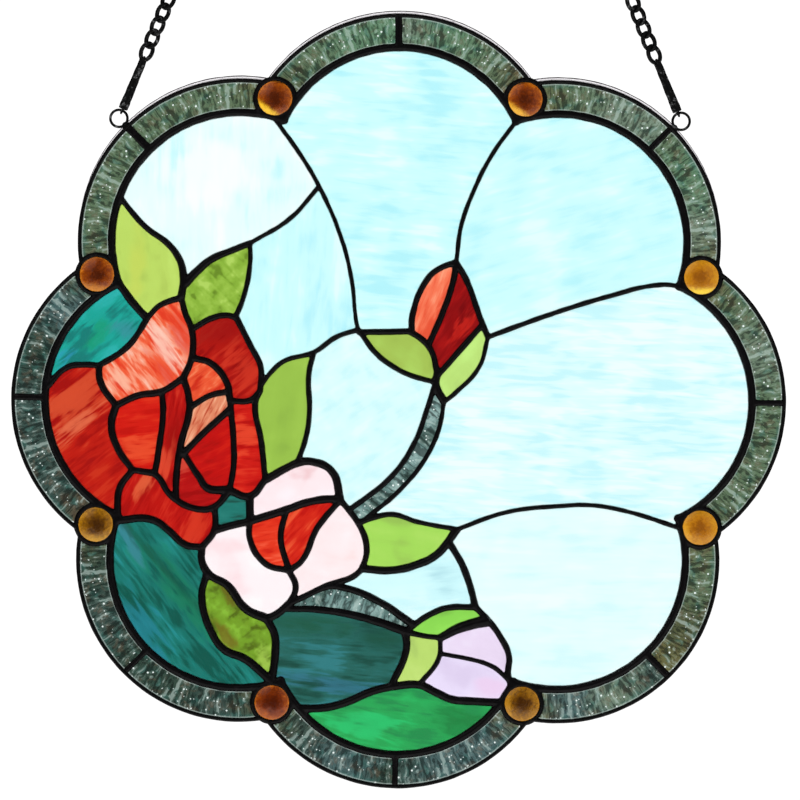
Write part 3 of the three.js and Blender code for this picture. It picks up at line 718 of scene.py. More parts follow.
# Lines of the picture: the width at each end, then its points in hundredths of the ring's reach.
# An end that is a single number is the direction of a point on the ring.
BEADS = [
    # ribs of the sky
    (FINE, HAIR, 114.1, (-28, 69.3), (-22.8, 60.6), (-16.5, 46.2), (-13.4, 34), (-12, 22), (-11.3, 19.4)),
    (FINE, FINE, (-22.8, 60.6), (-30.9, 51.5), (-41.9, 44.6)),
    (FINE, FINE, 67.5, (25.9, 69.5), (21.1, 59.9), (17.5, 49.8), (16.1, 39.3)),
    (SLIM, FINE, (25.2, 18.2), (41.9, 24.4), (58, 29.5), (74.5, 33.3), 22.5),
    (FINE, FINE, (16.8, -36.2), (30.4, -31.4), (45.5, -29.5), (54.6, -29.2), (64.7, -30.9), 336),
    (FULL, FULL, (14.6, -40), (18.2, -46.2), (20.6, -52.5), (22, -58.2)),
    # leaves above the rose
    (SLIM, STRONG, 144.1, (-71.9, 48.9), (-65.7, 44.3), (-62.5, 40.3), (-61.1, 35.7), (-61.6, 29)),
    (STRONG, STRONG, 157.5, (-74.5, 26.4), (-71.2, 23)),
    (SLIM, EVEN, (-71.2, 23), (-67.8, 26.6), (-61.6, 29)),
    (EVEN, HEAVY, (-41.9, 44.6), (-47.7, 42.2), (-53.2, 39.8), (-56.8, 36.9), (-60.6, 32.8)),
    (EVEN, EVEN, (-58.7, 19.9), (-52.7, 23.2), (-48.4, 24), (-46, 23.2)),
    (FINE, SLIM, (-42.2, 44.6), (-42.2, 38.8), (-44.1, 28.8), (-46.2, 23.7)),
    # rose
    (EVEN, FULL, (-61.6, 29), (-60.6, 24.9), (-58.7, 20.1), (-58.2, 15.3), (-59, 10.5), (-60.9, 6.2)),
    (EVEN, EVEN, (-46.2, 23.7), (-42.2, 15.8), (-39.1, 9.6), (-39.1, 2.6)),
    (EVEN, EVEN, (-71.2, 23), (-75.7, 16.1), (-78.6, 13.4), (-84.8, 9.6)),
    (EVEN, EVEN, (-84.8, 9.6), (-88.7, 9.8), (-93.7, 9.1), 178.3),
    (FULL, FULL, (-84.8, 9.6), (-84.4, 5), (-80, -1.7)),
    (FULL, FULL, (-80, -1.7), (-73.6, 1.2), (-66.9, 2.4), (-60.9, 6.2)),
    (FULL, FULL, (-60.9, 6.2), (-59.4, 1), (-59.2, -2.9), (-61.6, -12.9), (-62.8, -22.3), (-62.8, -27.8)),
    (EVEN, EVEN, (-59.2, -2.2), (-53, 1.4), (-48.2, 2.4)),
    (EVEN, EVEN, (-66.9, 1.9), (-66.6, -3.1), (-67.8, -14.4), (-68.8, -20.6)),
    (STRONG, FULL, (-80, -1.7), (-81.2, -7.2), (-79.3, -13.9), (-75.2, -19.9)),
    (EVEN, FULL, (-75.2, -19.9), (-71.9, -20.4), (-68.8, -21.1), (-64, -27.3), (-56.6, -30.9), (-52, -30.2),
     (-47.7, -25.6)),
    (FULL, FULL, (-75.2, -19.9), (-78.8, -25.2), 202.5),
    (STRONG, FULL, 203.2, (-69.3, -34), (-64.7, -37.1), (-60.1, -41), (-55.4, -41.7)),
    (EVEN, FULL, (-51.8, -30), (-52, -36.9), (-55.4, -41.7)),
    (FULL, FULL, (-47.7, -2.6), (-54.6, -8.9), (-60.9, -15.3)),
    (EVEN, HEAVY, (-60.9, -14.9), (-56.3, -21.8), (-53.9, -24.9), (-47.4, -25.4)),
    (EVEN, EVEN, (-47.7, 0.7), (-46.5, -13.7), (-46.5, -18.2), (-47.7, -25.6)),
    (EVEN, EVEN, (-47.9, -0.2), (-41.9, 0), (-39.1, 2.6)),
    (FULL, FULL, (-58.7, 12), (-52.7, 10.1), (-48.4, 4.3), (-47.7, -0.2)),
    (EVEN, EVEN, (-39.1, 2.6), (-40.5, -0.7), (-38.8, -11.5), (-37.6, -22.5)),
    (STRONG, FULL, (-47.7, -25.6), (-41.9, -27.1), (-37.6, -22.5)),
    # foliage and leaf between the flowers
    (STRONG, STRONG, (-41.9, -27.1), (-41.9, -34.7)),
    (STRONG, FULL, (-52, -36.9), (-47.2, -35.5), (-41.9, -34.3)),
    (FINE, SLIM, (-38.8, 4.3), (-36.2, 7.9), (-32.6, 11), (-24, 13.7), (-17.7, 18), (-11.5, 20.1)),
    (SLIM, SLIM, (-24, 13.7), (-25.4, 7.7), (-25.2, -3.6), (-26.1, -10.3), (-28.5, -17.5)),
    # pink flower
    (STRONG, STRONG, (-37.6, -22.5), (-32.1, -19.4), (-28.5, -17.7), (-24.4, -17.3), (-18.7, -20.1),
     (-16.3, -28)),
    (STRONG, STRONG, (-41.9, -34.3), (-32.4, -31.2), (-23.5, -28.3), (-16.3, -27.8)),
    (EVEN, EVEN, (-41.9, -34.3), (-41.9, -39.1), (-37.4, -46.2), (-30.7, -48.2)),
    (EVEN, EVEN, (-31.6, -30.9), (-33.1, -39.1), (-30.7, -48.2)),
    (EVEN, EVEN, (-16.3, -28), (-23, -36.4), (-27.1, -45.3), (-30.7, -48.2)),
    (EVEN, EVEN, (-30.7, -48.2), (-28.8, -53), (-30.7, -57.5)),
    (EVEN, EVEN, (-16.3, -28), (-10.5, -35.9), (-8.9, -40.7), (-9.3, -45.3), (-11.7, -49.1), (-19.7, -52.2),
     (-27.1, -55.8), (-30.7, -57.5)),
    (FULL, HEAVY, (-55.4, -41.7), (-55.4, -45.8), (-53, -49.6), (-48.4, -52.2), (-42.7, -59.2),
     (-36.9, -61.8)),
    (STRONG, STRONG, (-36.9, -61.8), (-34, -60.4), (-30.7, -57.5)),
    # leaves and stem below
    (FULL, HEAVY, (-54.2, -49.4), (-55.4, -55.8), (-52.2, -66.4), (-49.1, -70.5), (-42.9, -73.3),
     (-35.5, -79.6)),
    (STRONG, STRONG, (-36.9, -61.8), (-34.7, -66.4), (-34.5, -71.4), (-35.5, -79.6)),
    (SLIM, STRONG, (-27.1, -55.8), (-19.7, -52.7), (-16.3, -52.7), (-5.5, -56.6), (4.1, -63)),
    (EVEN, HEAVY, (-32.1, -59), (-21.6, -59.2), (-8.6, -61.6), (2.4, -65.2)),
    (EVEN, EVEN, (1.9, -65.4), (9.1, -60.4), (13.9, -58.5), (22, -58.2)),
    (SLIM, SLIM, (2.2, -65.2), (7.4, -66.4), (12.2, -66.9)),
    (FINE, SLIM, (12.2, -66.9), (11.7, -72.8), (6.2, -80.3)),
    (STRONG, FULL, (2.2, -65.2), (2.6, -70), (-1.7, -80.8)),
    (STRONG, STRONG, 252.3, (-21.1, -87), (-15.8, -85.8), (-6.5, -82), (-1.7, -80.8)),
    # violet bud
    (STRONG, WEDGE, (12.2, -66.9), (17.5, -64.2), (25.9, -61.8)),
    (EVEN, EVEN, (22, -58.2), (25.6, -61.8), (29.2, -66.6), (31.6, -71.9), (31.4, -77.2), 291.8),
    (FINE, FINE, (12.2, -71.4), (24, -73.8), (27.8, -75.5), (31.2, -78.6)),
    (STRONG, STRONG, (-1.7, -80.8), (6.2, -80.3), (11, -82.4), (15.6, -84.4), (20.6, -84.8), 289),
    # leaf beside the pink flower
    (EVEN, FINE, (-11.5, -34.7), (-7.2, -33.1), (-1.7, -32.1), (6, -34.3), (16.8, -36.2)),
    (STRONG, STRONG, (16.8, -36.2), (10.8, -43.6), (6.2, -46), (-1.4, -47.9), (-10.8, -47.4)),
    # red bud, its stem and its two leaves
    (SLIM, SLIM, (10.3, 5), (8.1, -2.2), (4.8, -11.3), (-1.4, -20.8), (-14.4, -31.4)),
    (FINE, FINE, (12.9, -0.2), (11.3, -8.4), (7.2, -17), (-0.2, -25.9), (-9.1, -33.3)),
    (SLIM, SLIM, (-11.5, 20.1), (-6.2, 13.2), (-2.2, 10.1), (3.1, 7.4), (10.5, 5.3)),
    (EVEN, EVEN, (-11.7, 19.4), (3.6, 19.7)),
    (EVEN, EVEN, (2.9, 19.7), (6.2, 17.7), (9.1, 14.4), (11, 7.7)),
    (EVEN, EVEN, (3.6, 19.7), (3.8, 24.2), (8.1, 34.7), (11.5, 37.6), (16.1, 39.3)),
    (EVEN, EVEN, (16.1, 39.3), (15.3, 34), (12.5, 25.4), (8.4, 15.8)),
    (EVEN, EVEN, (16.1, 39.3), (18.9, 34.5), (23.2, 23), (25.2, 18.2)),
    (EVEN, EVEN, (23.5, 21.6), (15.6, 12.5), (11, 7.2)),
    (STRONG, STRONG, (11, 7.9), (10.5, 4.8), (12.9, -0.2)),
    (FINE, FINE, (25.2, 18.2), (22.8, 9.8), (16.1, 2.4), (12.9, -0.2)),
]

# Dividers of the border: their width and how far they stand from the lobe's axis, against the clock, in mm.
DIVIDERS = {
    "top": (3.5, 1), "upper_left": (4, 0), "left": (3.3, -1.2), "lower_left": (2.6, 0),
    "bottom": (2.8, -0.9), "lower_right": (3.6, -1.1), "right": (2.8, 0), "upper_right": (3, 1.3),
}

# Beads of about one width are made together: more than the first width and up to the second.
BEAD_CLASSES = (("thin_beads", 0, SLIM), ("even_beads", SLIM, FULL), ("thick_beads", FULL, WEDGE))

OVERLAP = 1 * MM  # how much more of a divider or a collar there is, to run into what it meets
NOTCH_FILL = 0.3 * MM  # how far the solder of a notch stands out past the ring's own width
CAME_OVERRUN = 0.4  # degrees by which the arcs of the came cross each other at a notch


def bead_lines(name, lines):
    """Beads of solder drawn through the points of their lines, and thicker or thinner towards an end."""
    bpy.ops.curve.primitive_bezier_curve_add(location=(0, 0, 0))
    beads = named(bpy.context.active_object, name)
    beads.data.splines.clear()
    for start_width, end_width, *points in lines:
        spots = [in_picture(*p) if isinstance(p, tuple) else on_ring(p) for p in points]
        spline = beads.data.splines.new("BEZIER")
        spline.bezier_points.add(len(spots) - 1)
        for i, (point, spot) in enumerate(zip(spline.bezier_points, spots)):
            point.co = spot - CENTRE
            point.handle_left_type = "AUTO"
            point.handle_right_type = "AUTO"
            share = i / (len(spots) - 1)
            point.radius = start_width * (1 - share) + end_width * share
    beads.data.dimensions = "3D"
    beads.data.resolution_u = 8
    beads.data.bevel_depth = MM / 2
    beads.data.bevel_resolution = 3
    beads.data.use_fill_caps = True
    only(beads)
    bpy.ops.object.convert(target="MESH")
    beads = bpy.context.active_object
    widths = [(line[0] + line[1]) / 2 for line in lines]
    beads.scale.y = LEAD_DEPTH / (sum(widths) / len(widths) * MM)
    beads.location = CENTRE
    return settle(beads)


def divider(word, apex):
    width, off = DIVIDERS[word]
    direction = apex + math.degrees(off * MM / BORDER_MIDDLE)
    lobe = polar(LOBE_CENTRE, apex)
    bpy.ops.mesh.primitive_cube_add(size=1, location=polar((RING_RADIUS + RIM_INNER) / 2, direction, lobe))
    bar = bpy.context.active_object
    bar.scale = (RIM_INNER - RING_RADIUS + OVERLAP, LOW_SOLDER, width * MM)
    bar.rotation_euler = (0, -math.radians(direction), 0)
    return settle(bar)


def lobe_arc(apex, radius, width, depth, overrun=0):
    """A bar along one arc of a lobed line, from notch to notch."""
    wide = widest_angle(radius) + overrun
    return swept_bar(polar(LOBE_CENTRE, apex), radius, apex - wide, apex + wide, width, depth, 60)


def jewel_collars(width, depth):
    """A round bar about each jewel."""
    radius = JEWEL_RADIUS + COLLAR_WIDTH / 2
    return [swept_bar(polar(JEWEL_REACH, notch), radius, 0, 360, width, depth, 48) for notch in NOTCHES]


def notch_discs(name, reach, radius, depth):
    """A disc across the panel at each notch, that far from the panel's centre."""
    discs = []
    for degrees in NOTCHES:
        bpy.ops.mesh.primitive_cylinder_add(
            vertices=64, radius=radius, depth=depth, location=polar(reach, degrees),
            rotation=(math.pi / 2, 0, 0),
        )
        discs.append(settle(bpy.context.active_object))
    return join(discs, name)


def run_together(piece, smoothing, swell):
    """Melts a joined piece into one skin, opens it for the jewels, and rounds and swells it."""
    modify(piece, "REMESH", mode="VOXEL", voxel_size=VOXEL, adaptivity=0)
    openings = notch_discs("jewel_openings", JEWEL_REACH, JEWEL_RADIUS, CUTTER_DEPTH)
    modify(piece, "BOOLEAN", operation="DIFFERENCE", solver="MANIFOLD", object=openings)
    bpy.data.objects.remove(openings)
    modify(piece, "SMOOTH", factor=0.5, iterations=smoothing)
    modify(piece, "DISPLACE", strength=swell, mid_level=0)


def solder_lattice():
    """The beads of the picture, the ring, the collars and the dividers, rounded and run together."""
    whole = [notch_discs("notch_solder", notch_reach(RING_RADIUS), RING_WIDTH / 2 + NOTCH_FILL, LOW_SOLDER)]
    for name, least, most in BEAD_CLASSES:
        lines = [line for line in BEADS if least < (line[0] + line[1]) / 2 <= most]
        whole.append(bead_lines(name, lines))
    for word, apex in zip(LOBE_WORDS, APEXES):
        whole.append(lobe_arc(apex, RING_RADIUS, RING_WIDTH, LEAD_DEPTH))
        whole.append(divider(word, apex))
    whole += jewel_collars(COLLAR_WIDTH + OVERLAP, LEAD_DEPTH)
    lattice = join(whole, "solder_lattice")
    run_together(lattice, 6, 0.36 * MM)
    uneven(lattice, relief("bead_swells", 7 * MM), 0.5 * MM)
    modify(lattice, "DECIMATE", ratio=0.3)
    return finish_piece(smooth(lattice, 60), SOLDER, "solder", "lead_lattice")


def edge_came():
    """The rounded came of the eight lobes, with solder round the outside of the jewels."""
    middle = LOBE_RADIUS - RIM_WIDTH / 2
    arcs = [lobe_arc(apex, middle, RIM_WIDTH, RIM_DEPTH, CAME_OVERRUN) for apex in APEXES]
    came = join(arcs + jewel_collars(COLLAR_WIDTH, RIM_DEPTH), "edge_came_rounded")
    run_together(came, 4, 0.15 * MM)
    modify(came, "DECIMATE", ratio=0.4)
    uneven(came, relief("came_swells", 9 * MM), 0.35 * MM)
    return finish_piece(smooth(came), CAME_METAL, "came", "edge_came")


HIGHLIGHT_DEPTH = 2.4 * MM
HIGHLIGHT_INSET = 0.5 * MM  # from the outside of the lobe to the middle of the painted highlight
HIGHLIGHT_SETBACK = 1 * MM  # towards the back of the panel
# Each line of the painted highlight on the came: how far it stands above the came's own arc, its width, and
# its finish.
HIGHLIGHT_LINES = (("highlight_strip", 1.1, 1.8, CAME_HIGHLIGHT_PAINT), ("highlight_outline", 2.1, 0.6, HIGHLIGHT_OUTLINE_PAINT))
# Where it runs: the lobe's direction, and the directions about its centre in which the painted highlight
# starts and ends.
HIGHLIGHT_ARCS = ((90, 34, 146), (135, 72, 168), (45, 12, 108))


def came_top_highlight():
    """A painted highlight where the rounded came catches the light, along what faces up of the top lobes'
    outside: a light strip with a grey line along its outer side.
    """
    for name, rise, width, finish in HIGHLIGHT_LINES:
        arcs = []
        for apex, start, end in HIGHLIGHT_ARCS:
            lobe = polar(LOBE_CENTRE, apex)
            arc = swept_bar(lobe, LOBE_RADIUS - HIGHLIGHT_INSET, start, end, width * MM, HIGHLIGHT_DEPTH, 60)
            arc.location = (0, HIGHLIGHT_SETBACK, rise * MM)
            arcs.append(settle(arc))
        lit_band = uneven(join(arcs, name), relief(name + "_swells", 5 * MM), 0.4 * MM)
        finish_piece(smooth(lit_band), finish, "came")


# Jewels by direction: tones from the middle out, then the painted glow of light through the dome, its
# direction and its strength.
GOLDEN = [(140, 80, 10), (176, 110, 14), (198, 134, 18), (216, 156, 36)]
BROWN = [(72, 24, 2), (112, 44, 4), (150, 70, 4), (208, 118, 16)]
CHESTNUT = [(72, 20, 0), (104, 36, 2), (138, 58, 4), (198, 106, 20)]
HONEY = [(62, 32, 2), (110, 68, 4), (158, 106, 8), (204, 150, 30)]
JEWELS = {
    112.5: (BROWN, (255, 204, 44), 235, 1),
    157.5: (BROWN, (226, 146, 40), 260, 0.5),
    202.5: (HONEY, (208, 156, 44), 270, 0.5),
    247.5: (CHESTNUT, (190, 96, 24), 240, 0.4),
    292.5: (HONEY, (196, 140, 36), 180, 0.5),
    337.5: (GOLDEN, (232, 170, 46), 200, 0.6),
    22.5: (GOLDEN, (255, 216, 60), 270, 1),
    67.5: (BROWN, (252, 190, 56), 235, 0.9),
}


JEWEL_TUCK = 1.7 * MM  # how far a jewel goes on under its collar


def jewels():
    """Eight domed jewels in their collars."""
    bpy.ops.mesh.primitive_uv_sphere_add(segments=48, ring_count=24, radius=1, location=(0, 0, 0),
                                         rotation=(math.pi / 2, 0, 0))
    first = settle(bpy.context.active_object)
    reach = JEWEL_RADIUS + JEWEL_TUCK
    first.scale = (reach, JEWEL_DEPTH / 2, reach)
    settle(without_uv(first))
    uneven(first, relief("pressed_dimples", 5 * MM), 0.3 * MM)
    lay_uv(first, "pattern", lambda co: (co.x / JEWEL_RADIUS, co.z / JEWEL_RADIUS))
    smooth(first)
    for i, degrees in enumerate(NOTCHES):
        direction = degrees % 360
        dome = bpy.data.objects.new("jewel", first.data.copy())
        scene.collection.objects.link(dome)
        dome.location = polar(JEWEL_REACH, degrees)
        settle(named(dome, f"amber_jewel_{i + 1}"))
        finish_piece(dome, amber_jewel(f"amber_jewel_{i + 1}_glass", *JEWELS[direction]), "jewel_amber_glass")
    bpy.data.objects.remove(first)


# Glass of the picture

TUCK = 1.7 * MM  # how far the corners of a sheet are pushed out, so that its edge lies under the solder
GRID = 4 * MM


def grown_sheet(node):
    """A sheet's outline grown under the solder, at its real thickness."""
    sheet = copy_of(node, node + "_sheet")
    only(sheet)
    bpy.ops.object.mode_set(mode="EDIT")
    bpy.ops.mesh.select_all(action="SELECT")
    bpy.ops.mesh.dissolve_limited(angle_limit=math.radians(1))
    bpy.ops.object.mode_set(mode="OBJECT")
    modify(sheet, "DISPLACE", strength=TUCK, mid_level=0)
    low, high = (min(v.co.y for v in sheet.data.vertices), max(v.co.y for v in sheet.data.vertices))
    sheet.scale.y = GLASS_THICKNESS / (high - low)
    return settle(sheet)


def cut_in_squares(sheets):
    """Gives flat sheets a grid of points, so that they can take a wavy surface."""
    only(*sheets)
    bpy.ops.object.mode_set(mode="EDIT")
    across = math.ceil(PANEL_RADIUS / GRID)
    for i in range(-across, across + 1):
        for normal in ((1, 0, 0), (0, 0, 1)):
            bpy.ops.mesh.select_all(action="SELECT")
            bpy.ops.mesh.bisect(plane_co=CENTRE + Vector(normal) * (i * GRID), plane_no=normal)
    bpy.ops.object.mode_set(mode="OBJECT")


# Each sheet by its kind, its tones, its patches, and the run of its streaks.

SKY = dict(length=6, fineness=110, clouds=0.55, cloud=34, contrast=3.2, ripple=1.1, roughness=0.35)
LEAF = dict(length=6, fineness=70, clouds=0.5, cloud=18, contrast=2.8)
ROSE = dict(length=7, fineness=150, clouds=0.28, cloud=22, contrast=3.8, ripples=420, ripple=1.7)
FOLIAGE = dict(length=8, fineness=100, clouds=0.3, cloud=26, contrast=4.2, ripples=300, ripple=1.9)
PETAL = dict(length=3, fineness=50, clouds=0.6, cloud=20, contrast=2.6)

SHEETS = {
    "sky_upper_left": (
        "sky_blue", [(200, 248, 251), (232, 254, 253), (248, 255, 255)],
        [((192, 246, 250), -84, 50, 7, 16, 40), ((250, 255, 255), -55, 66, 14, 9, 0)],
        dict(SKY, turn=90, ripple_turn=90, ripple=0.6, balance=0.55)),
    "sky_top": (
        "sky_blue", [(180, 243, 250), (205, 253, 253), (230, 255, 255)], [], dict(SKY, turn=-5, ripple=1.4)),
    "sky_upper_right": (
        "sky_blue", [(184, 244, 250), (205, 252, 253), (226, 255, 255)], [],
        dict(SKY, turn=16, ripple_turn=16)),
    "sky_right": (
        "sky_pale", [(198, 246, 251), (220, 253, 253), (238, 255, 255)], [],
        dict(SKY, turn=-3, length=9, ripple=2.6, ripples=250)),
    "sky_lower_right": (
        "sky_pale", [(214, 250, 252), (228, 254, 254), (238, 255, 255)], [],
        dict(SKY, turn=0, length=9, ripple=1.3)),
    "sky_left_centre": (
        "sky_blue", [(180, 241, 250), (204, 252, 253), (226, 255, 255)], [], dict(SKY, turn=86, ripple=1.0)),
    "sky_centre": (
        "sky_pale", [(202, 247, 250), (218, 253, 253), (230, 255, 255)], [],
        dict(SKY, turn=30, length=2, cloud=14)),
    "sky_under_leaf": (
        "sky_blue", [(180, 226, 234), (205, 248, 252), (224, 254, 254)],
        [((214, 253, 254), -2, -50, 16, 4, 5)], dict(SKY, turn=5, balance=0.6)),
    "leaf_upper_left": (
        "leaf_green", [(172, 198, 88), (187, 217, 100), (193, 224, 108)],
        [((198, 214, 92), -74, 38, 12, 3, 85)], dict(LEAF, turn=95)),
    "leaf_above_rose": (
        "leaf_green", [(106, 140, 40), (136, 178, 58), (152, 192, 72), (176, 212, 96)], [],
        dict(LEAF, turn=40, length=2.2, fineness=120, cloud=8, clouds=0.6, contrast=3.6, ripple=1.6,
             ripple_turn=-45, ripples=200)),
    "leaf_beside_rose": (
        "leaf_green", [(140, 178, 70), (152, 192, 75), (159, 199, 80)], [], dict(LEAF, turn=85, length=9)),
    "leaf_left_of_bud": (
        "leaf_green", [(136, 158, 64), (164, 194, 85), (174, 212, 98)], [], dict(LEAF, turn=-30)),
    "leaf_right_of_bud": (
        "leaf_lime", [(154, 184, 102), (186, 224, 119), (195, 238, 130)], [], dict(LEAF, turn=50)),
    "leaf_right_of_pink": (
        "leaf_lime", [(152, 194, 86), (164, 218, 91), (176, 224, 102)], [], dict(LEAF, turn=-8)),
    "leaf_lower_left": (
        "leaf_green", [(84, 106, 24), (116, 158, 40), (136, 186, 56)],
        [((98, 70, 20), -48, -55, 8, 1.7, -55), ((112, 84, 22), -49.5, -65.5, 8, 1.4, -48),
         ((166, 202, 82), -37.6, -73, 5, 2.2, -80)],
        dict(LEAF, turn=-40, length=2.5, cloud=8, clouds=0.6, contrast=3.8, ripple=1.4, ripple_turn=35,
             ripples=190)),
    "leaf_above_violet_bud": (
        "leaf_lime", [(104, 152, 62), (138, 214, 82), (152, 229, 92)], [], dict(LEAF, turn=14, balance=0.6)),
    "leaf_beside_violet_bud": (
        "leaf_lime", [(166, 196, 102), (186, 219, 111), (194, 225, 120)], [], dict(LEAF, turn=-60)),
    "rose_outer_left": (
        "rose_red", [(162, 12, 8), (190, 26, 13), (204, 48, 24)],
        [((214, 82, 48), -91, -1, 11, 7, 38), ((226, 110, 74), -91, -7, 7, 2.4, 36)], dict(ROSE, turn=38)),
    "rose_upper_left": (
        "rose_salmon", [(226, 60, 34), (240, 96, 60), (247, 150, 118), (251, 190, 168)],
        [((252, 206, 188), -66.5, 15, 12, 2.6, -53), ((224, 52, 34), -61.5, 19, 7, 2.6, -62),
         ((222, 44, 26), -66, 7.4, 6, 2.2, -50), ((250, 188, 160), -79, 5, 5, 2.4, -50)],
        dict(ROSE, turn=-52, contrast=3.8, balance=0.42)),
    "rose_upper_right": (
        "rose_red", [(146, 8, 8), (176, 20, 12), (198, 44, 26)],
        [((150, 10, 10), -49, 20.5, 8, 4, 20), ((206, 52, 32), -43, 9, 7, 4, -50)], dict(ROSE, turn=40)),
    "rose_heart_top": (
        "rose_red", [(206, 44, 24), (234, 86, 50), (252, 146, 100)], [], dict(ROSE, turn=38, balance=0.56)),
    "rose_heart_fold": (
        "rose_salmon", [(190, 74, 48), (226, 138, 102), (244, 178, 142)], [],
        dict(ROSE, turn=62, length=10, fineness=420, clouds=0.2, balance=0.55)),
    "rose_inner_left": (
        "rose_red", [(192, 16, 8), (210, 26, 14), (222, 48, 24)],
        [((236, 84, 46), -74.5, -14.2, 7, 3, 0)], dict(ROSE, turn=6)),
    "rose_inner_middle": (
        "rose_red", [(160, 6, 6), (186, 18, 12), (214, 56, 36)],
        [((146, 4, 4), -63.5, -10, 7, 2.6, 80), ((226, 76, 48), -66.3, -19, 5, 2, 85)], dict(ROSE, turn=80)),
    "rose_heart_right": ("rose_red", [(168, 10, 8), (192, 13, 11), (207, 26, 15)], [], dict(ROSE, turn=25)),
    "rose_right": (
        "rose_red", [(178, 10, 8), (205, 25, 17), (222, 52, 32)],
        [((232, 74, 44), -43.5, -10, 6, 4, 0)], dict(ROSE, turn=2)),
    "rose_heart_foot": (
        "rose_red", [(156, 6, 8), (181, 13, 14), (192, 28, 22)],
        [((214, 76, 58), -60.5, -17.5, 4, 2, 70)], dict(ROSE, turn=15)),
    "rose_lower": (
        "rose_red", [(166, 8, 6), (188, 17, 11), (207, 40, 24)],
        [((228, 102, 62), -71.5, -24.5, 5, 2, 55), ((214, 56, 32), -57, -36, 5, 3, 60)], dict(ROSE, turn=62)),
    "foliage_upper_left": (
        "foliage_teal", [(24, 124, 116), (28, 164, 150), (44, 176, 170)],
        [((24, 150, 106), -87, 17, 8, 3, 48), ((48, 146, 186), -93, 12.5, 5, 2, 45),
         ((58, 140, 152), -77, 20, 4, 3, 0)], dict(FOLIAGE, turn=42, length=3, clouds=0.6)),
    "foliage_between_flowers": (
        "foliage_teal", [(29, 78, 68), (32, 118, 108), (40, 128, 118)], [],
        dict(FOLIAGE, turn=0, balance=0.6)),
    "foliage_lower_left": (
        "foliage_teal", [(14, 86, 74), (26, 118, 108), (36, 142, 142)],
        [((26, 122, 84), -60, -56, 20, 4.5, -50), ((34, 124, 140), -73, -62, 12, 4, -58),
         ((62, 134, 152), -76.5, -39, 7, 1.2, -58), ((20, 78, 62), -64, -50, 18, 1.6, -50)],
        dict(FOLIAGE, turn=-52)),
    "foliage_bottom_dark": (
        "foliage_teal", [(26, 76, 66), (38, 100, 92), (50, 124, 128)],
        [((30, 86, 62), -24, -63.5, 15, 3, -3), ((24, 74, 54), -4, -67, 8, 4, -10),
         ((52, 112, 134), -18, -80.5, 15, 2, -6)],
        dict(FOLIAGE, turn=-5, length=10, fineness=150, contrast=5)),
    "foliage_bottom_green": (
        "foliage_green", [(38, 142, 78), (42, 164, 85), (44, 184, 98)],
        [((30, 116, 58), 19, -90, 9, 5, 0), ((46, 196, 112), -9, -91, 10, 3, -5)],
        dict(FOLIAGE, turn=-10, length=4, clouds=0.5)),
    "pink_petal_top": (
        "petal_pink", [(241, 202, 206), (253, 234, 238), (255, 243, 248)], [], dict(PETAL, balance=0.56)),
    "pink_petal_left": ("petal_pink", [(251, 224, 228), (253, 242, 245), (255, 252, 252)], [], PETAL),
    "pink_petal_right": ("petal_pink", [(249, 212, 210), (253, 235, 237), (254, 246, 249)], [], PETAL),
    "pink_heart_left": ("rose_red", [(208, 32, 16), (228, 54, 28), (246, 96, 64)], [], dict(ROSE, turn=10)),
    "pink_heart_right": ("rose_red", [(192, 18, 10), (213, 38, 20), (234, 84, 48)], [], dict(ROSE, turn=48)),
    "red_bud_light": (
        "rose_salmon", [(230, 84, 54), (246, 118, 83), (254, 158, 122)], [], dict(ROSE, turn=68)),
    "red_bud_dark": (
        "rose_red", [(118, 4, 8), (142, 8, 11), (166, 15, 15)],
        [((202, 34, 24), 18.5, 22, 5, 2, 60)], dict(ROSE, turn=55)),
    "violet_bud_upper": (
        "bud_violet", [(222, 206, 230), (234, 218, 243), (242, 232, 252)], [],
        dict(PETAL, turn=-15, balance=0.56)),
    "violet_bud_lower": (
        "bud_violet", [(222, 208, 238), (232, 220, 248), (242, 230, 254)],
        [((236, 204, 236), 26, -80, 6, 3, -15)], dict(PETAL, turn=-12)),
}

# The two stems, by how far each is turned from lying along the first axis.
STEMS = {"stem_of_red_bud": 58, "stem_of_violet_bud": -12}
STEM_TONES = [(70, 94, 88), (102, 134, 130), (140, 170, 166)]


def picture_glass():
    """Every sheet of the picture, with its own glass."""
    waves = relief("sheet_waves", 14 * MM)
    sheets = {node: grown_sheet(node) for node in (*SHEETS, *STEMS)}
    cut_in_squares(list(sheets.values()))
    for node, sheet in sheets.items():
        smooth(uneven(sheet, waves, 0.3 * MM))
        low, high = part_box(node)
        if node in SHEETS:
            kind, tones, patches, figure = SHEETS[node]
            glass = opal_glass(node + "_glass", (low + high) / 2, tones, patches, **figure)
        else:
            kind = "stem_grey"
            glass = stem_glass(node + "_glass", STEMS[node], STEM_TONES)
        finish_piece(sheet, glass, kind + "_glass", node)


# Border glass: its finishes, and the tile of each lobe before its divider and past it, against the clock

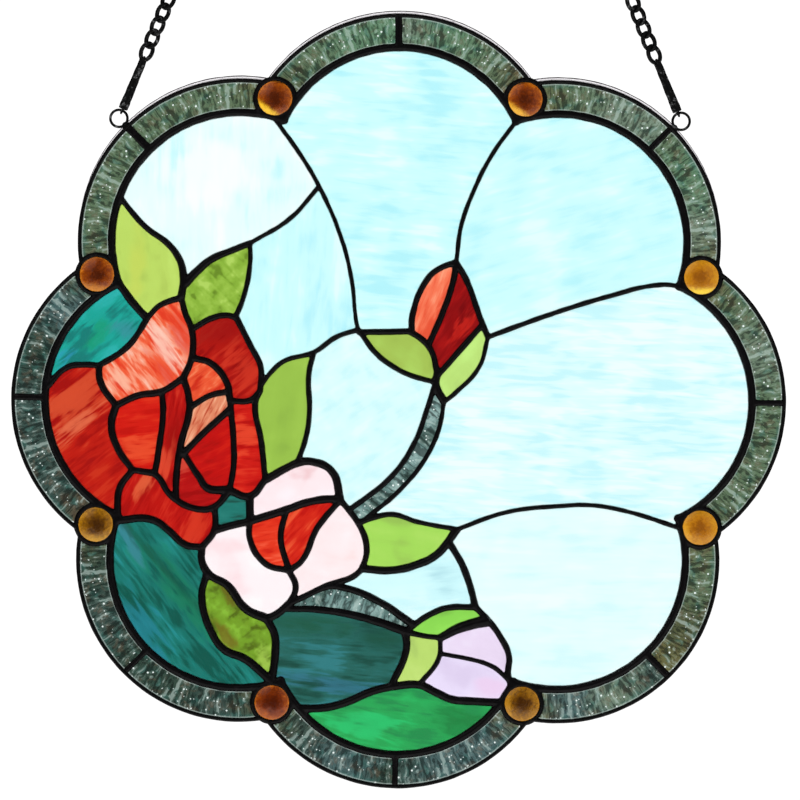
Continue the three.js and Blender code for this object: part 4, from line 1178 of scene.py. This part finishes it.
UMBER = (98, 74, 44)
OLIVE = (104, 102, 64)
FERN = (80, 88, 62)
MOSS = (94, 117, 90)
SEA = (97, 133, 104)
MIST = (111, 131, 112)
STEEL = (76, 102, 102)
PINE = (52, 72, 62)
DEEP = (60, 80, 74)
BORDER = {
    "top": ((UMBER, MOSS, SEA, MIST), (SEA, SEA, MOSS, FERN)),
    "upper_left": ((OLIVE, MOSS, MOSS, MOSS), (MOSS, MOSS, MOSS, FERN)),
    "left": ((FERN, STEEL, PINE, DEEP), (DEEP, DEEP, DEEP, UMBER)),
    "lower_left": ((FERN, PINE, DEEP, PINE), (PINE, PINE, DEEP, FERN)),
    "bottom": ((FERN, DEEP, STEEL, PINE), (DEEP, STEEL, STEEL, OLIVE)),
    "lower_right": ((OLIVE, STEEL, MIST, DEEP), (OLIVE, FERN, MOSS, OLIVE)),
    "right": ((FERN, MOSS, MOSS, MOSS), (MOSS, MIST, MOSS, OLIVE)),
    "upper_right": ((OLIVE, MIST, SEA, MOSS), (MIST, MIST, MOSS, OLIVE)),
}
TILE_TUCK = 0.8 * MM  # how far a tile goes on under the ring, the came and its divider
TILE_STEP = 1.3 * MM
RIDGES_ALONG = 3.4  # how fine the relief is along a tile and across it
RIDGES_ACROSS = 0.6


def border_tile(name, apex, start, end, tones):
    """One tile of the border, swept about the lobe's centre and hollowed where it meets a jewel."""
    lobe = polar(LOBE_CENTRE, apex)
    bpy.ops.mesh.primitive_grid_add(x_subdivisions=9, y_subdivisions=2, size=1, location=(0, 0, 0))
    tile = bpy.context.active_object
    tile.scale = (BORDER_WIDTH + 2 * TILE_TUCK, GLASS_THICKNESS, 1)
    tile.rotation_euler = (0, -math.radians(start), 0)
    tile.location = polar(BORDER_MIDDLE, start, lobe)
    settle(tile)
    steps = round(math.radians(end - start) * BORDER_MIDDLE / TILE_STEP)
    spin_about(tile, lobe, end - start, steps)
    for degrees in NOTCHES:
        bpy.ops.mesh.primitive_cylinder_add(
            vertices=40, radius=JEWEL_RADIUS + COLLAR_WIDTH / 2, depth=CUTTER_DEPTH,
            location=polar(JEWEL_REACH, degrees), rotation=(math.pi / 2, 0, 0),
        )
        hole = bpy.context.active_object
        near = min((hole.location - polar(BORDER_MIDDLE, side, lobe)).length for side in (start, end))
        if near < 2 * BORDER_WIDTH:
            modify(tile, "BOOLEAN", operation="DIFFERENCE", solver="EXACT", object=hole)
        bpy.data.objects.remove(hole)
    without_uv(tile)

    def along_and_across(co):
        arm = co - lobe
        turn = (math.degrees(math.atan2(arm.z, arm.x)) - start + 90) % 360 - 90
        along = math.radians(turn) * BORDER_MIDDLE / BORDER_WIDTH
        return along, (math.hypot(arm.x, arm.z) - RING_OUTER) / BORDER_WIDTH

    def in_ridges(co):
        along, across = along_and_across(co)
        return along * RIDGES_ALONG + apex, across * RIDGES_ACROSS

    lay_uv(tile, "ridges", in_ridges)
    modify(tile, "DISPLACE", texture=relief("border_ridges", 1), texture_coords="UV", uv_layer="ridges",
           strength=0.7 * MM, mid_level=0.5)
    tile.data.uv_layers.remove(tile.data.uv_layers["ridges"])
    lay_uv(tile, "pattern", along_and_across)
    span = math.radians(end - start) * BORDER_MIDDLE / BORDER_WIDTH
    return finish_piece(smooth(named(tile, name), 60), border_glass(name + "_glass", span, tones),
                        "border_green_glass")


def border():
    """Two tiles in each lobe, one on each side of its divider."""
    wide = widest_angle(BORDER_MIDDLE)
    for word, apex in zip(LOBE_WORDS, APEXES):
        width, off = DIVIDERS[word]
        middle = math.degrees(off * MM / BORDER_MIDDLE)
        half_gap = math.degrees((width / 2 * MM - TILE_TUCK) / BORDER_MIDDLE)
        first, second = BORDER[word]
        tiles = [
            border_tile(f"border_{word}_first", apex, apex - wide, apex + middle - half_gap, first),
            border_tile(f"border_{word}_second", apex, apex + middle + half_gap, apex + wide, second),
        ]
        for tile in tiles:
            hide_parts("border_glass_" + word)


# Rings, rods and chains, made upright from the middle of a ring and then leaned over

SKIN = 0.2 * MM  # how far wires and rods stand out over the solids


def hung(obj, side):
    """Leans an upright piece along its chain and sets it at its ring."""
    obj.rotation_euler = (0, -side * CHAIN_LEAN, 0)
    obj.location = polar(LOOP_REACH, 90 - side * HANGER_DIRECTION)
    return settle(obj)


def wire_ring(radius, wire_width, height, across=False):
    """A ring of round wire in the panel's plane, or across it."""
    bpy.ops.mesh.primitive_torus_add(
        major_radius=radius, minor_radius=wire_width / 2, major_segments=40, minor_segments=10,
        location=(0, 0, height), rotation=(0, math.pi / 2, 0) if across else (math.pi / 2, 0, 0),
    )
    return settle(bpy.context.active_object)


def chain_link(height):
    """A twisted oval link of a flat chain."""
    bpy.ops.curve.primitive_bezier_circle_add(radius=1, location=(0, 0, 0))
    link = bpy.context.active_object
    points = link.data.splines[0].bezier_points
    swing = math.pi / 6  # a third of the quarter turn between two points
    for i, point in enumerate(points):
        turn = i * math.pi / 2
        cosine = math.cos(turn)
        sine = math.sin(turn)
        swerve = 2 * LINK_TWIST * math.cos(2 * turn)
        spot = Vector((LINK_HALF_WIDTH * cosine, LINK_TWIST * math.sin(2 * turn), LINK_HALF_LENGTH * sine))
        run = Vector((-LINK_HALF_WIDTH * sine, swerve, LINK_HALF_LENGTH * cosine))
        point.handle_left_type = "FREE"
        point.handle_right_type = "FREE"
        point.co = spot
        point.handle_left = spot - run * swing
        point.handle_right = spot + run * swing
    link.data.resolution_u = 8
    link.data.bevel_depth = LINK_WIRE / 2 + SKIN
    link.data.bevel_resolution = 3
    link.location = (0, 0, height)
    only(link)
    bpy.ops.object.convert(target="MESH")
    return settle(bpy.context.active_object)


def rod():
    """A crimped rod with an eye at each end."""
    foot = LOOP_RADIUS + LOOP_WIRE / 2 + 0.2 * MM
    head = UPPER_EYE - 0.2 * MM
    bpy.ops.mesh.primitive_cone_add(
        vertices=20, radius1=ROD_RADIUS_LOW + SKIN, radius2=ROD_RADIUS_HIGH + 1.5 * SKIN, depth=head - foot,
        location=(0, 0, (foot + head) / 2),
    )
    bar = settle(bpy.context.active_object)
    modify(bar, "BEVEL", width=0.4 * MM, segments=2, limit_method="ANGLE")
    low_eye = wire_ring(EYE_RADIUS, EYE_WIRE, LOOP_RADIUS, across=True)
    high_eye = wire_ring(EYE_RADIUS, EYE_WIRE, UPPER_EYE, across=True)
    whole = join([bar, low_eye, high_eye], "rod")
    modify(whole, "REMESH", mode="VOXEL", voxel_size=0.3 * MM, adaptivity=0)
    modify(whole, "SMOOTH", factor=0.5, iterations=3)
    return uneven(whole, relief("rod_dents", 4 * MM), 0.5 * MM)


def solder_blob(side):
    """The solder that holds a ring to the came."""
    spot = polar(PANEL_RADIUS - 0.2 * MM, 90 - side * HANGER_DIRECTION)
    bpy.ops.mesh.primitive_uv_sphere_add(segments=24, ring_count=16, radius=1, location=spot)
    blob = bpy.context.active_object
    blob.scale = (2.6 * MM, 2.2 * MM, 2.6 * MM)
    blob.rotation_euler = (0, -side * math.radians(HANGER_DIRECTION), 0)
    return uneven(settle(blob), relief("blob_lumps", 2 * MM), 0.5 * MM)


def hangers():
    """On each side a ring on the came, a rod hooked in it, and a chain up to its end ring."""
    for word, side in (("left", -1), ("right", 1)):
        loop = hung(wire_ring(LOOP_RADIUS, LOOP_WIRE + SKIN, 0), side)
        ring = join([loop, solder_blob(side)], f"edge_ring_{word}_wire")
        finish_piece(smooth(ring), HANGER_METAL, "hanger_metal", f"edge_ring_{word}")
        bar = named(hung(rod(), side), f"rod_{word}_crimped")
        finish_piece(smooth(bar), HANGER_METAL, "hanger_metal", f"rod_{word}")
        links = [chain_link(FIRST_LINK + i * LINK_PITCH) for i in range(LINKS)]
        links.append(wire_ring(END_RING_RADIUS, END_RING_WIRE, END_RING, across=True))
        chain = hung(join(links, f"chain_{word}_links"), side)
        finish_piece(smooth(chain), HANGER_METAL, "hanger_metal", f"chain_{word}")


# Studio

MIRRORED_LIGHT = 0.05  # of the room in what only mirrors it
SEEN_LIGHT = 1.1  # of the white behind the glass
FLOOR_DROP = 0.9  # metres from the lowest point of the panel


def studio_world():
    """A white sheet of light behind the glass, and a dark room for what only mirrors it."""
    world = bpy.data.worlds.new("studio")
    scene.world = world
    scene.view_settings.view_transform = "Standard"
    world.use_nodes = True
    tree = world.node_tree
    background = tree.nodes["Background"]
    background.inputs["Color"].default_value = (1, 1, 1, 1)
    ray = tree.nodes.new("ShaderNodeLightPath").outputs
    seen = maths(tree, "MAXIMUM", ray["Is Camera Ray"], ray["Is Transmission Ray"])
    lit = maths(tree, "MAXIMUM", seen, ray["Is Diffuse Ray"])
    wire(tree, background.inputs["Strength"], mapped(tree, lit, 0, 1, MIRRORED_LIGHT, SEEN_LIGHT))


def pale_floor():
    bpy.ops.mesh.primitive_plane_add(size=6, location=(0, 0, cad_low.z - FLOOR_DROP))
    floor = named(bpy.context.active_object, "floor")
    material, tree, shader, place = new_material("pale_floor")
    plaster = noise(tree, place["Object"], 3.0)
    wire(tree, shader.inputs["Base Color"], ramp(tree, plaster, [(224, 224, 222), (236, 236, 234)]))
    shader.inputs["Roughness"].default_value = 0.8
    floor.data.materials.append(material)


def soft_light(name, place, size, power):
    light = bpy.data.lights.new(name, "AREA")
    light.size = size
    light.energy = power
    obj = bpy.data.objects.new(name, light)
    scene.collection.objects.link(obj)
    obj.location = place
    obj.rotation_euler = (CENTRE - Vector(place)).to_track_quat("-Z", "Y").to_euler()


solder_lattice()
edge_came()
came_top_highlight()
jewels()
picture_glass()
border()
hangers()
studio_world()
pale_floor()
soft_light("key_light", (-1.2, -1.6, 1.2), 1.8, 6)
soft_light("fill_light", (1.4, -1.4, 0.2), 2, 3)
